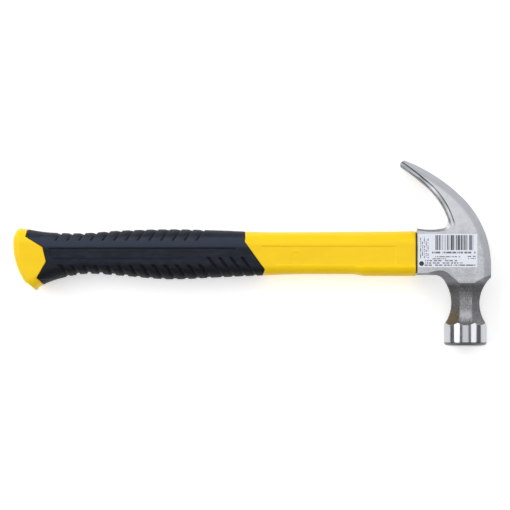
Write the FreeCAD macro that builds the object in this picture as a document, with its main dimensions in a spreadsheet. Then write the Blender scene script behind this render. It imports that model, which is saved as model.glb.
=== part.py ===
import FreeCAD, Part
import math
import os

import Sketcher

# Curved-claw hammer with a jacketed fibreglass handle.
#
# The pieces are modelled about the crossing of the poll axis and the handle axis: X runs from
# the butt to the head's top, Y from the striking face to the claws, Z across the head.
# Each finished piece is then laid on its side by its Placement, so the hammer rests on
# Z = 0 with the middle of its outline over the origin. All sizes are in millimetres.

V = FreeCAD.Vector

# ---------------------------------------------------------------- driving dimensions

# How far the claws' tips stand above the handle's axis. Their sweeps are set against it, so
# that longer or shorter claws keep the same curve.
CLAW_RISE = 64.5

SIZES = {
    # head, seen from the side (X and Y from the crossing of poll axis and handle axis)
    "head_top": 17.4,
    "head_top_start": 8.8,
    "claw_outer_radius": CLAW_RISE + 2.3,
    "claw_outer_tip_radius": 117.6,
    "claw_inner_radius": CLAW_RISE - 11.1,
    "claw_inner_tip_radius": 199.0,
    "claw_rise": CLAW_RISE,
    "claw_tip_reach": 42.8,
    "claw_tip_inner_rise": CLAW_RISE - 4.4,
    "claw_tip_inner_reach": 44.7,
    "claw_tip_nose_rise": CLAW_RISE - 1.9,
    "claw_tip_nose_reach": 44.9,
    "throat_reach": 8.8,
    "throat_level": 6.2,
    "throat_fillet": 5.3,
    "collar_reach": 33.6,
    "collar_top": 17.4,
    "collar_top_middle": 24.5,
    "collar_top_radius": 45.0,
    "collar_bottom": 14.9,
    "collar_chamfer": 1.1,
    "neck_blend": 8.0,
    "neck_back_radius": 27.5,
    "neck_front_radius": 24.5,
    "neck_cheek_radius": 36.0,
    "neck_flare_radius": 24.6,
    "neck_waist": 9.7,
    "neck_corner_waist": 9.75,
    "neck_drop": 34.3,
    # head, across its width
    "cheek_half": 12.5,
    "claw_tip_half": 14.95,
    "claw_flare_start": 24.0,
    "poll_radius": 14.95,
    "face_drop": 64.6,
    "face_flat": 8.6,
    "face_crown": 12.9,
    "face_crown_rise": 1.15,
    "face_bevel_rise": 3.5,
    # eye and nail slot
    "eye_top": 11.2,
    "eye_bottom": 10.6,
    "eye_half": 7.6,
    "eye_corner": 5.6,
    "eye_flare": 1.1,
    "slot_root_angle": 21.0,
    "slot_root_half": 0.9,
    "slot_tip_half": 4.2,
    "slot_bevel": 1.0,
    "slot_depth": 26.0,
    # fibreglass core, resin and handle
    "core_top": 8.8,
    "core_bottom": 8.2,
    "core_half": 5.6,
    "core_corner": 4.6,
    "core_start": 296.0,
    "resin_recess": 0.6,
    "resin_bead": 0.8,
    "resin_inset": 0.8,
    "handle_reach": 312.5,
    "butt_arc_radius": 48.0,
    "butt_arc_rise": 7.0,
    "grip_wall": 2.6,
    "grip_gap": 0.35,
    "guard_start": 79.0,
    "guard_run": 8.0,
    "guard_step": 1.2,
    "guard_top": 8.3,
    "guard_sink": 0.6,
    # grip grooves and side panel
    "groove_pitch": 8.1,
    "groove_width": 2.2,
    "groove_depth": 0.9,
    "panel_start": 141.0,
    "panel_finish": 48.3,
    "panel_top": 5.2,
    "panel_bottom": 8.0,
    "panel_slant": 8.8,
    "panel_depth": 0.4,
    # stick-on label
    "label_left": 32.9,
    "label_right": 7.9,
    "label_top": 13.6,
    "label_bottom": 9.4,
    "label_corner": 0.7,
    "label_thickness": 0.12,
}

# Handle stations from the butt to the head: distance from the poll axis, top and bottom of
# the section measured from the handle axis, half width, corner radius.
STATIONS = {
    "butt": (318.0, 19.4, 35.0, 14.6, 11.0),
    "lip": (303.5, 17.0, 28.8, 14.5, 11.0),
    "heel": (290.8, 14.9, 21.2, 13.6, 10.6),
    "tail": (278.0, 14.2, 16.7, 12.3, 10.0),
    "waist": (262.0, 14.2, 14.1, 11.8, 9.6),
    "palm": (238.9, 15.9, 15.3, 12.8, 10.4),
    "belly": (204.3, 16.8, 17.9, 13.6, 11.0),
    "finger": (170.0, 16.0, 16.5, 12.8, 10.2),
    "front": (140.6, 14.9, 15.2, 11.6, 9.0),
    "shaft": (118.0, 14.9, 14.4, 11.0, 8.0),
    "middle": (79.0, 15.1, 14.3, 11.0, 7.5),
    "shoulder": (34.5, 15.5, 14.4, 11.0, 7.5),
}
STATION_SIZES = ("reach", "top", "bottom", "half", "corner")

# Ends of the rubber grip, as distances from the poll axis and heights above the handle axis.
GRIP_BUTT_EDGE = {
    "butt_edge_a": (302.5, 40.0),
    "butt_edge_b": (304.0, 11.8),
    "butt_edge_c": (292.2, 4.4),
    "butt_edge_d": (289.8, -5.5),
    "butt_edge_e": (296.3, -17.2),
    "butt_edge_f": (284.0, -40.0),
}
GRIP_HEAD_EDGE = {
    "head_edge_a": (151.8, 40.0),
    "head_edge_b": (152.7, 8.2),
    "head_edge_c": (138.8, -11.1),
    "head_edge_d": (144.6, -40.0),
}

# Rows of slanted grooves: first groove, number, the height where a groove starts on the
# side of the grip, and how far it runs along the handle on its way to the edge.
GROOVES = {
    "upper": (274.0, 12, 8.4, 7.5),
    "lower": (281.0, 13, -8.0, 9.0),
    "finger_stop": (178.8, 4, -2.4, 13.0),
}
GROOVE_SIZES = ("first", "count", "level", "run")

# Bevels of changing width, as (set back from the edge, drop down the wall) at even steps.
BEVELS = {
    "back": [
        (1.5, 1.5), (1.6, 1.6), (2.4, 2.1), (4.4, 3.1),
        (6.0, 4.0), (6.4, 4.8), (6.0, 5.3), (5.65, 5.65),
    ],
    "front": [(2.4, 2.0), (4.0, 3.0), (5.4, 4.0), (6.1, 4.9), (6.0, 5.4), (5.65, 5.65)],
    "outer": [
        (5.4, 0.5), (5.4, 0.55), (5.4, 0.6), (5.2, 0.6),
        (4.8, 0.6), (4.4, 0.6), (4.0, 0.6), (3.6, 0.6),
    ],
    "claw": [
        (1.5, 1.5), (1.5, 1.5), (2.0, 1.6), (2.7, 1.6),
        (2.8, 1.6), (2.6, 1.5), (2.3, 1.3), (1.8, 1.1),
    ],
    "collar": [(0.6, 0.6), (0.6, 0.6), (0.6, 0.6)],
}
BEVEL_SIZES = ("set_back", "drop")

SHEET = "Sizes"
RIM_ANGLES = (20, 40, 65)
REACH_OUT = 60.0  # how far a cutting tool runs past the piece it cuts
BEVEL_SPARE = 0.4  # how far a bevel's slope is carried past both ends, as a part of its width
BEVEL_CLEAR = 3.0  # how far a bevel's tool stands clear of the metal
AXIS_X, AXIS_Y, AXIS_Z = V(1, 0, 0), V(0, 1, 0), V(0, 0, 1)
SIDE_PLANE = FreeCAD.Placement()
FRONT_PLANE = FreeCAD.Placement(V(), FreeCAD.Rotation(V(1, 1, 1), 120))  # X -> Y, Y -> Z

doc = FreeCAD.newDocument("ClawHammer")


def fill_sheet():
    """Write every driving dimension into the spreadsheet, one aliased cell each."""
    sheet = doc.addObject("Spreadsheet::Sheet", SHEET)
    rows = dict(SIZES)
    for name, values in STATIONS.items():
        for what, value in zip(STATION_SIZES, values):
            rows[f"{name}_{what}"] = value
    for table in (GRIP_BUTT_EDGE, GRIP_HEAD_EDGE):
        for name, (reach, rise) in table.items():
            rows[f"{name}_reach"] = reach
            rows[f"{name}_rise"] = rise
    for name, values in GROOVES.items():
        for what, value in zip(GROOVE_SIZES, values):
            rows[f"{name}_{what}"] = value
    for name, steps in BEVELS.items():
        for i, values in enumerate(steps):
            for what, value in zip(BEVEL_SIZES, values):
                rows[f"{name}_bevel_{i}_{what}"] = value
    for row, (alias, value) in enumerate(rows.items(), start=1):
        sheet.set(f"A{row}", alias)
        sheet.set(f"B{row}", str(value))
        sheet.setAlias(f"B{row}", alias)
    doc.recompute()
    return rows


size = fill_sheet()


def cell(alias):
    """The expression that reads one cell of the sheet."""
    return f"{SHEET}.{alias}"


# ---------------------------------------------------------------- sketching helpers


def new_sketch(name, plane=SIDE_PLANE):
    sketch = doc.addObject("Sketcher::SketchObject", name)
    sketch.Placement = plane
    return sketch


def bind(sketch, kind, elements, value, expression):
    """Add a dimension to a sketch and tie it to the sheet."""
    index = sketch.addConstraint(Sketcher.Constraint(kind, *elements, value))
    sketch.setExpression(f"Constraints[{index}]", expression)


def lock(sketch, geometry, end, x=None, y=None):
    """Hold one point of a sketch at sheet expressions, measured from the sketch's origin."""
    point = sketch.getPoint(geometry, end)
    if x is not None:
        bind(sketch, "DistanceX", (-1, 1, geometry, end), point.x, x)
    if y is not None:
        bind(sketch, "DistanceY", (-1, 1, geometry, end), point.y, y)


def polygon(sketch, corners):
    """A closed polygon whose corners are (x, x expression, y, y expression)."""
    count = len(corners)
    for i, (x, _, y, _) in enumerate(corners):
        nx, _, ny, _ = corners[(i + 1) % count]
        sketch.addGeometry(Part.LineSegment(V(x, y, 0), V(nx, ny, 0)))
    for i in range(count):
        sketch.addConstraint(Sketcher.Constraint("Coincident", i, 2, (i + 1) % count, 1))
    for i, (_, x_rule, _, y_rule) in enumerate(corners):
        lock(sketch, i, 1, x_rule, y_rule)
    return sketch


def corner(x, x_rule, y, y_rule):
    return (x, x_rule, y, y_rule)


def rounded_box(sketch, left, right, low, high, radius, rules):
    """A rectangle with equal corner arcs. rules holds the expressions of the five values."""
    r = radius
    centres = [(left + r, low + r), (right - r, low + r), (right - r, high - r), (left + r, high - r)]
    for i, (cx, cy) in enumerate(centres):
        start = math.pi + i * math.pi / 2
        circle = Part.Circle(V(cx, cy, 0), AXIS_Z, r)
        sketch.addGeometry(Part.ArcOfCircle(circle, start, start + math.pi / 2))
    for i in range(4):
        first, second = sketch.getPoint(i, 2), sketch.getPoint((i + 1) % 4, 1)
        sketch.addGeometry(Part.LineSegment(first, second))
    for i in range(4):
        line, following = 4 + i, (i + 1) % 4
        sketch.addConstraint(Sketcher.Constraint("Tangent", i, 2, line, 1))
        sketch.addConstraint(Sketcher.Constraint("Tangent", line, 2, following, 1))
        sketch.addConstraint(Sketcher.Constraint("Vertical" if i % 2 else "Horizontal", line))
    for i in range(1, 4):
        sketch.addConstraint(Sketcher.Constraint("Equal", 0, i))
    bind(sketch, "Radius", (0,), r, rules[4])
    lock(sketch, 0, 1, rules[0], None)
    lock(sketch, 1, 2, rules[1], None)
    lock(sketch, 0, 2, None, rules[2])
    lock(sketch, 2, 2, None, rules[3])
    return sketch


def extrude(name, sketch, length, direction=None):
    """A symmetric extrusion of a closed sketch along its own normal."""
    solid = doc.addObject("Part::Extrusion", name)
    solid.Base = sketch
    solid.DirMode = "Normal" if direction is None else "Custom"
    if direction is not None:
        solid.Dir = direction
    solid.Solid = True
    solid.Symmetric = True
    solid.LengthFwd = length
    return solid


def boolean(kind, name, base, tool):
    """A two-shape Part boolean: Cut, Fuse or Common."""
    solid = doc.addObject(f"Part::{kind}", name)
    solid.Base = base
    solid.Tool = tool
    return solid


def chain(kind, name, shapes):
    """The same boolean applied to a list of shapes, one after the other."""
    result = shapes[0]
    for i, shape in enumerate(shapes[1:], start=1):
        last = i == len(shapes) - 1
        result = boolean(kind, name if last else f"{name}_{i}", result, shape)
    return result


def circles_meet(first, first_radius, second, second_radius, side):
    """Where two circles cross; side +1 or -1 picks the left or right crossing."""
    along = second - first
    distance = along.Length
    along.normalize()
    reach = (first_radius**2 - second_radius**2 + distance**2) / (2 * distance)
    offset = math.sqrt(first_radius**2 - reach**2)
    return first + along * reach + V(-along.y, along.x, 0) * (offset * side)


def arc_from_to(centre, start, end, clockwise=False):
    """The arc about a centre between two points, as sketch geometry."""
    radius = (start - centre).Length
    a = math.atan2(start.y - centre.y, start.x - centre.x)
    b = math.atan2(end.y - centre.y, end.x - centre.x)
    if clockwise:
        a, b = b, a
    while b < a:
        b += 2 * math.pi
    return Part.ArcOfCircle(Part.Circle(centre, AXIS_Z, radius), a, b)


# ---------------------------------------------------------------- head: side outline


class Outline:
    """Indices of the side outline's edges, in the order they are drawn."""

    COLLAR_BOTTOM, NECK_BLEND, NECK_BACK, WAIST, NECK_FRONT, HEAD_EDGE = range(6)
    CLAW_OUTER, CLAW_OUTER_TIP, NOSE_TOP, NOSE, CLAW_INNER_TIP, CLAW_INNER = range(6, 12)
    THROAT, COLLAR_TOP, COLLAR_END = range(12, 15)


def head_outline(name="head_side_outline"):
    """The head above the neck's waist, seen from the side: arcs tangent to one another."""
    s = size
    waist_y = -s["neck_drop"]
    back_centre = V(-s["neck_waist"] - s["neck_back_radius"], waist_y, 0)
    blend_y = -s["collar_bottom"] - s["neck_blend"]
    blend_x = back_centre.x + math.sqrt(
        (s["neck_back_radius"] - s["neck_blend"]) ** 2 - (blend_y - waist_y) ** 2
    )
    blend_centre = V(blend_x, blend_y, 0)
    outward = (blend_centre - back_centre).normalize()
    blend_end = back_centre + outward * s["neck_back_radius"]
    front_centre = V(s["neck_waist"] + s["neck_front_radius"], waist_y, 0)
    edge_run = front_centre.x - s["head_top"]
    edge_low = V(s["head_top"], waist_y + math.sqrt(s["neck_front_radius"] ** 2 - edge_run**2), 0)
    edge_high = V(s["head_top"], -s["head_top_start"], 0)

    outer_centre = edge_high - V(s["claw_outer_radius"], 0, 0)
    outer_tip = V(-s["claw_tip_reach"], s["claw_rise"], 0)
    step = s["claw_outer_tip_radius"] - s["claw_outer_radius"]
    outer_tip_centre = circles_meet(outer_centre, step, outer_tip, s["claw_outer_tip_radius"], 1)
    outward = (outer_centre - outer_tip_centre).normalize()
    outer_join = outer_centre + outward * s["claw_outer_radius"]
    nose = V(-s["claw_tip_nose_reach"], s["claw_tip_nose_rise"], 0)
    inner_tip = V(-s["claw_tip_inner_reach"], s["claw_tip_inner_rise"], 0)
    inner_centre = V(-s["throat_reach"] - s["claw_inner_radius"], s["throat_level"], 0)
    step = s["claw_inner_tip_radius"] - s["claw_inner_radius"]
    inner_tip_centre = circles_meet(inner_centre, step, inner_tip, s["claw_inner_tip_radius"], 1)
    outward = (inner_centre - inner_tip_centre).normalize()
    inner_join = inner_centre + outward * s["claw_inner_radius"]

    collar_high = V(-s["collar_reach"], s["collar_top"], 0)
    half_run = s["collar_reach"] - s["collar_top_middle"]
    collar_rise = math.sqrt(s["collar_top_radius"] ** 2 - half_run**2)
    collar_centre = V(-s["collar_top_middle"], s["collar_top"] + collar_rise, 0)
    throat_centre = circles_meet(
        inner_centre,
        s["claw_inner_radius"] - s["throat_fillet"],
        collar_centre,
        s["collar_top_radius"] - s["throat_fillet"],
        -1,
    )
    throat_high = inner_centre + (throat_centre - inner_centre).normalize() * s["claw_inner_radius"]
    throat_low = collar_centre + (throat_centre - collar_centre).normalize() * s["collar_top_radius"]
    collar_low = V(-s["collar_reach"], -s["collar_bottom"], 0)
    waist_back = V(-s["neck_waist"], waist_y, 0)
    waist_front = V(s["neck_waist"], waist_y, 0)
    blend_start = V(blend_centre.x, -s["collar_bottom"], 0)

    sketch = new_sketch(name)
    for edge in (
        Part.LineSegment(collar_low, blend_start),
        arc_from_to(blend_centre, blend_start, blend_end, clockwise=True),
        arc_from_to(back_centre, blend_end, waist_back, clockwise=True),
        Part.LineSegment(waist_back, waist_front),
        arc_from_to(front_centre, waist_front, edge_low, clockwise=True),
        Part.LineSegment(edge_low, edge_high),
        arc_from_to(outer_centre, edge_high, outer_join),
        arc_from_to(outer_tip_centre, outer_join, outer_tip),
        Part.LineSegment(outer_tip, nose),
        Part.LineSegment(nose, inner_tip),
        arc_from_to(inner_tip_centre, inner_tip, inner_join, clockwise=True),
        arc_from_to(inner_centre, inner_join, throat_high, clockwise=True),
        arc_from_to(throat_centre, throat_high, throat_low, clockwise=True),
        arc_from_to(collar_centre, throat_low, collar_high, clockwise=True),
        Part.LineSegment(collar_high, collar_low),
    ):
        sketch.addGeometry(edge)

    # An arc drawn clockwise runs backwards along the outline, so its ends swap.
    o = Outline
    backward = {
        o.NECK_BLEND,
        o.NECK_BACK,
        o.NECK_FRONT,
        o.CLAW_INNER_TIP,
        o.CLAW_INNER,
        o.THROAT,
        o.COLLAR_TOP,
    }
    smooth = {
        (o.COLLAR_BOTTOM, o.NECK_BLEND),
        (o.NECK_BLEND, o.NECK_BACK),
        (o.CLAW_OUTER, o.CLAW_OUTER_TIP),
        (o.CLAW_INNER_TIP, o.CLAW_INNER),
        (o.CLAW_INNER, o.THROAT),
        (o.THROAT, o.COLLAR_TOP),
    }
    edges = o.COLLAR_END + 1
    for i in range(edges):
        following = (i + 1) % edges
        ends = (i, 1 if i in backward else 2, following, 2 if following in backward else 1)
        kind = "Tangent" if (i, following) in smooth else "Coincident"
        sketch.addConstraint(Sketcher.Constraint(kind, *ends))

    radii = {
        o.NECK_BLEND: "neck_blend",
        o.NECK_BACK: "neck_back_radius",
        o.NECK_FRONT: "neck_front_radius",
        o.CLAW_OUTER: "claw_outer_radius",
        o.CLAW_OUTER_TIP: "claw_outer_tip_radius",
        o.CLAW_INNER_TIP: "claw_inner_tip_radius",
        o.CLAW_INNER: "claw_inner_radius",
        o.THROAT: "throat_fillet",
        o.COLLAR_TOP: "collar_top_radius",
    }
    for edge, alias in radii.items():
        bind(sketch, "Radius", (edge,), s[alias], cell(alias))
    lock(sketch, o.COLLAR_BOTTOM, 1, f"-{cell('collar_reach')}", f"-{cell('collar_bottom')}")
    sketch.addConstraint(Sketcher.Constraint("Horizontal", o.COLLAR_BOTTOM))
    lock(sketch, o.WAIST, 1, f"-{cell('neck_waist')}", f"-{cell('neck_drop')}")
    lock(sketch, o.WAIST, 2, cell("neck_waist"), f"-{cell('neck_drop')}")
    lock(sketch, o.NECK_BACK, 3, None, f"-{cell('neck_drop')}")
    lock(sketch, o.NECK_FRONT, 3, None, f"-{cell('neck_drop')}")
    lock(sketch, o.HEAD_EDGE, 1, cell("head_top"), None)
    lock(sketch, o.HEAD_EDGE, 2, cell("head_top"), f"-{cell('head_top_start')}")
    lock(sketch, o.CLAW_OUTER, 3, None, f"-{cell('head_top_start')}")
    lock(sketch, o.NOSE_TOP, 1, f"-{cell('claw_tip_reach')}", cell("claw_rise"))
    lock(sketch, o.NOSE, 1, f"-{cell('claw_tip_nose_reach')}", cell("claw_tip_nose_rise"))
    lock(sketch, o.NOSE, 2, f"-{cell('claw_tip_inner_reach')}", cell("claw_tip_inner_rise"))
    inner_x = f"-{cell('throat_reach')} - {cell('claw_inner_radius')}"
    lock(sketch, o.CLAW_INNER, 3, inner_x, cell("throat_level"))
    lock(sketch, o.COLLAR_TOP, 3, f"-{cell('collar_top_middle')}", None)
    lock(sketch, o.COLLAR_END, 1, f"-{cell('collar_reach')}", cell("collar_top"))
    return sketch


# ---------------------------------------------------------------- head: across its width


def width_profile():
    """The head above the waist seen along the handle: neck, flat cheeks and flared claws."""
    s = size
    sketch = new_sketch("head_width_profile", FRONT_PLANE)
    low = -s["neck_drop"]
    centre_z = s["neck_waist"] + s["neck_cheek_radius"]
    rise = math.sqrt(s["neck_cheek_radius"] ** 2 - (centre_z - s["cheek_half"]) ** 2)
    cheek_low = low + rise
    high = s["claw_rise"] + 1.0
    right = V(low, s["neck_waist"], 0)
    left = V(low, -s["neck_waist"], 0)
    right_cheek = V(cheek_low, s["cheek_half"], 0)
    left_cheek = V(cheek_low, -s["cheek_half"], 0)
    right_flare = V(s["claw_flare_start"], s["cheek_half"], 0)
    left_flare = V(s["claw_flare_start"], -s["cheek_half"], 0)
    right_tip = V(high, s["claw_tip_half"], 0)
    left_tip = V(high, -s["claw_tip_half"], 0)
    for edge in (
        Part.LineSegment(right, left),
        arc_from_to(V(low, -centre_z, 0), left, left_cheek, clockwise=True),
        Part.LineSegment(left_cheek, left_flare),
        Part.LineSegment(left_flare, left_tip),
        Part.LineSegment(left_tip, right_tip),
        Part.LineSegment(right_tip, right_flare),
        Part.LineSegment(right_flare, right_cheek),
        arc_from_to(V(low, centre_z, 0), right_cheek, right, clockwise=True),
    ):
        sketch.addGeometry(edge)
    backward = {1, 7}
    for i in range(8):
        following = (i + 1) % 8
        ends = (i, 1 if i in backward else 2, following, 2 if following in backward else 1)
        sketch.addConstraint(Sketcher.Constraint("Coincident", *ends))
    waist, cheek = cell("neck_waist"), cell("cheek_half")
    for arc in (1, 7):
        bind(sketch, "Radius", (arc,), s["neck_cheek_radius"], cell("neck_cheek_radius"))
        lock(sketch, arc, 3, f"-{cell('neck_drop')}", None)
    lock(sketch, 0, 1, f"-{cell('neck_drop')}", waist)
    lock(sketch, 0, 2, f"-{cell('neck_drop')}", f"-{waist}")
    lock(sketch, 2, 1, None, f"-{cheek}")
    lock(sketch, 6, 2, None, cheek)
    lock(sketch, 3, 1, cell("claw_flare_start"), f"-{cheek}")
    lock(sketch, 5, 2, cell("claw_flare_start"), cheek)
    lock(sketch, 4, 1, f"{cell('claw_rise')} + 1", f"-{cell('claw_tip_half')}")
    lock(sketch, 4, 2, f"{cell('claw_rise')} + 1", cell("claw_tip_half"))
    return sketch


def surface_level(y):
    """Half width of the head at a height y above the handle axis, neck to claw tips."""
    s = size
    if y >= s["claw_flare_start"]:
        run = s["claw_rise"] + 1.0 - s["claw_flare_start"]
        return s["cheek_half"] + (s["claw_tip_half"] - s["cheek_half"]) * (y - s["claw_flare_start"]) / run
    radius = s["neck_cheek_radius"]
    drop = min(abs(y + s["neck_drop"]), radius)
    neck = s["neck_waist"] + radius - math.sqrt(radius**2 - drop**2)
    return s["cheek_half"] if y > -s["neck_drop"] + radius else min(neck, s["cheek_half"])


def walk_edges(edges, steps, start_near, lead=3.0):
    """Evenly spaced points along joined sketch edges, with the direction of travel at each.

    The walk starts and ends a little beyond the edges so that a tool clears the piece.
    """
    wire = Part.Wire(Part.__sortEdges__(edges))
    points = wire.discretize(Number=200)
    if (points[0] - start_near).Length > (points[-1] - start_near).Length:
        points.reverse()
    lengths = [0.0]
    for a, b in zip(points, points[1:]):
        lengths.append(lengths[-1] + (b - a).Length)
    start = points[0] - (points[1] - points[0]).normalize() * lead
    finish = points[-1] + (points[-1] - points[-2]).normalize() * lead
    stations = [(start, (points[1] - points[0]).normalize())]
    for i in range(steps):
        target = lengths[-1] * i / (steps - 1)
        nearest = min(range(len(points)), key=lambda j: abs(lengths[j] - target))
        before, after = points[max(nearest - 1, 0)], points[min(nearest + 1, len(points) - 1)]
        stations.append((points[nearest], (after - before).normalize()))
    stations.append((finish, (points[-1] - points[-2]).normalize()))
    return stations


def bevel_cutter(name, edges, start_near, outside):
    """A tool that bevels one edge of the head, its width changing along the way."""
    steps = BEVELS[name]
    stations = walk_edges(edges, len(steps), start_near)
    sections = []
    for i, (point, along) in enumerate(stations):
        index = min(max(i - 1, 0), len(steps) - 1)
        outward = V(along.y, -along.x, 0)
        if outward.dot(outside) < 0:
            outward = outward * -1
        level = surface_level(point.y)
        frame = FreeCAD.Matrix()
        normal = outward.cross(AXIS_Z)
        frame.A11, frame.A21, frame.A31 = outward.x, outward.y, outward.z
        frame.A12, frame.A22, frame.A32 = 0, 0, 1
        frame.A13, frame.A23, frame.A33 = normal.x, normal.y, normal.z
        frame.A14, frame.A24, frame.A34 = point.x, point.y, level
        sketch = new_sketch(f"{name}_bevel_section_{i}", FreeCAD.Placement(frame))
        set_back, drop = steps[index]
        back_cell = cell(f"{name}_bevel_{index}_set_back")
        drop_cell = cell(f"{name}_bevel_{index}_drop")
        inner_x, inner_y = -(1 + BEVEL_SPARE) * set_back, BEVEL_SPARE * drop
        outer_x, outer_y = BEVEL_SPARE * set_back, -(1 + BEVEL_SPARE) * drop
        inner_rules = (f"-{1 + BEVEL_SPARE} * {back_cell}", f"{BEVEL_SPARE} * {drop_cell}")
        outer_rules = (f"{BEVEL_SPARE} * {back_cell}", f"-{1 + BEVEL_SPARE} * {drop_cell}")
        clear_rule = f"{BEVEL_CLEAR} mm"
        polygon(
            sketch,
            [
                corner(inner_x, inner_rules[0], inner_y, inner_rules[1]),
                corner(outer_x, outer_rules[0], outer_y, outer_rules[1]),
                corner(BEVEL_CLEAR, clear_rule, outer_y, outer_rules[1]),
                corner(BEVEL_CLEAR, clear_rule, BEVEL_CLEAR, clear_rule),
                corner(inner_x, inner_rules[0], BEVEL_CLEAR, clear_rule),
            ],
        )
        sections.append(sketch)
    loft = doc.addObject("Part::Loft", f"{name}_bevel")
    loft.Sections = sections
    loft.Solid = True
    loft.Ruled = False
    return loft


def mirrored(name, source):
    """The same tool on the other cheek."""
    copy = doc.addObject("Part::Mirroring", name)
    copy.Source = source
    copy.Normal = AXIS_Z
    return copy


def flare_bar(name, angle, waist_alias):
    """A bar whose sides flare from the neck's waist towards the poll, turned about the poll."""
    s = size
    waist, radius = s[waist_alias], s["neck_flare_radius"]
    wide = s["poll_radius"] + 4.0
    fall = math.sqrt(radius**2 - (radius - (wide - waist)) ** 2)
    low = -s["face_drop"] - 3.0
    top_left, top_right = V(-waist, -s["neck_drop"], 0), V(waist, -s["neck_drop"], 0)
    right_end, left_end = V(wide, -s["neck_drop"] - fall, 0), V(-wide, -s["neck_drop"] - fall, 0)
    right_centre = V(waist + radius, -s["neck_drop"], 0)
    left_centre = V(-waist - radius, -s["neck_drop"], 0)
    sketch = new_sketch(name + "_profile", FreeCAD.Placement(V(), FreeCAD.Rotation(AXIS_Y, angle)))
    for edge in (
        Part.LineSegment(top_right, top_left),
        arc_from_to(left_centre, top_left, left_end, clockwise=True),
        Part.LineSegment(left_end, V(-wide, low, 0)),
        Part.LineSegment(V(-wide, low, 0), V(wide, low, 0)),
        Part.LineSegment(V(wide, low, 0), right_end),
        arc_from_to(right_centre, right_end, top_right, clockwise=True),
    ):
        sketch.addGeometry(edge)
    backward = {1, 5}
    for i in range(6):
        following = (i + 1) % 6
        ends = (i, 1 if i in backward else 2, following, 2 if following in backward else 1)
        sketch.addConstraint(Sketcher.Constraint("Coincident", *ends))
    for arc in (1, 5):
        bind(sketch, "Radius", (arc,), radius, cell("neck_flare_radius"))
        lock(sketch, arc, 3, None, f"-{cell('neck_drop')}")
    lock(sketch, 0, 1, cell(waist_alias), f"-{cell('neck_drop')}")
    lock(sketch, 0, 2, f"-{cell(waist_alias)}", f"-{cell('neck_drop')}")
    lock(sketch, 3, 1, f"-{cell('poll_radius')} - 4", f"-{cell('face_drop')} - 3")
    lock(sketch, 3, 2, f"{cell('poll_radius')} + 4", f"-{cell('face_drop')} - 3")
    lock(sketch, 2, 1, f"-{cell('poll_radius')} - 4", None)
    lock(sketch, 4, 2, f"{cell('poll_radius')} + 4", None)
    return extrude(name, sketch, 2 * REACH_OUT)


def rim_corner(face, angle):
    """A corner of the rounded rim, at an angle on its way from the crown to the poll's side."""
    s = size
    across, down = math.sin(math.radians(angle)), math.cos(math.radians(angle))
    crown, rise = cell("face_crown"), cell("face_bevel_rise")
    crown_rise = cell("face_crown_rise")
    x = s["face_crown"] + (s["poll_radius"] - s["face_crown"]) * across
    y = face + s["face_bevel_rise"] - (s["face_bevel_rise"] - s["face_crown_rise"]) * down
    x_rule = f"{crown} + ({cell('poll_radius')} - {crown}) * {across}"
    y_rule = f"-{cell('face_drop')} + {rise} - ({rise} - {crown_rise}) * {down}"
    return corner(x, x_rule, y, y_rule)


def poll_round():
    """The turned poll: a cylinder with a rounded rim and a lightly crowned striking face."""
    s = size
    top = -s["neck_drop"]
    face = -s["face_drop"]
    sketch = new_sketch("poll_profile")
    polygon(
        sketch,
        [
            corner(0, "0 mm", top, f"-{cell('neck_drop')}"),
            corner(0, "0 mm", face, f"-{cell('face_drop')}"),
            corner(s["face_flat"], cell("face_flat"), face, f"-{cell('face_drop')}"),
            corner(
                s["face_crown"],
                cell("face_crown"),
                face + s["face_crown_rise"],
                f"-{cell('face_drop')} + {cell('face_crown_rise')}",
            ),
            *(rim_corner(face, angle) for angle in RIM_ANGLES),
            corner(
                s["poll_radius"],
                cell("poll_radius"),
                face + s["face_bevel_rise"],
                f"-{cell('face_drop')} + {cell('face_bevel_rise')}",
            ),
            corner(s["poll_radius"], cell("poll_radius"), top, f"-{cell('neck_drop')}"),
        ],
    )
    turned = doc.addObject("Part::Revolution", "poll_round")
    turned.Source = sketch
    turned.Axis = AXIS_Y
    turned.Base = V()
    turned.Angle = 360
    turned.Solid = True
    return turned


def box_section(name, x, x_rule, rules, values):
    """A rounded rectangle across the handle at one distance along it."""
    sketch = new_sketch(name, FRONT_PLANE)
    low, high, half, radius = values
    low_rule, high_rule, half_rule, radius_rule = rules
    rounded_box(
        sketch, low, high, -half, half, radius,
        (low_rule, high_rule, f"-({half_rule})", half_rule, radius_rule),
    )
    sketch.Placement = FreeCAD.Placement(V(x, 0, 0), FRONT_PLANE.Rotation)
    sketch.setExpression("Placement.Base.x", x_rule)
    return sketch


def loft_through(name, sections, ruled=False):
    loft = doc.addObject("Part::Loft", name)
    loft.Sections = sections
    loft.Solid = True
    loft.Ruled = ruled
    return loft


def eye_taper():
    """The eye: a rounded hole along the handle axis, widening towards the head's top."""
    s = size
    sections = []
    for end, x, x_rule, grow in (
        ("low", -s["collar_reach"], f"-{cell('collar_reach')} * 1 mm", 0),
        ("high", s["head_top"] + 2, f"({cell('head_top')} + 2) * 1 mm", 1),
    ):
        extra = s["eye_flare"] * grow
        extra_rule = f"{cell('eye_flare')} * {grow}"
        sections.append(
            box_section(
                f"eye_section_{end}",
                x,
                x_rule,
                (
                    f"-{cell('eye_bottom')} - {extra_rule}",
                    f"{cell('eye_top')} + {extra_rule}",
                    f"{cell('eye_half')} + {extra_rule}",
                    cell("eye_corner"),
                ),
                (
                    -s["eye_bottom"] - extra,
                    s["eye_top"] + extra,
                    s["eye_half"] + extra,
                    s["eye_corner"],
                ),
            )
        )
    return loft_through("eye_taper", sections, ruled=True)


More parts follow.
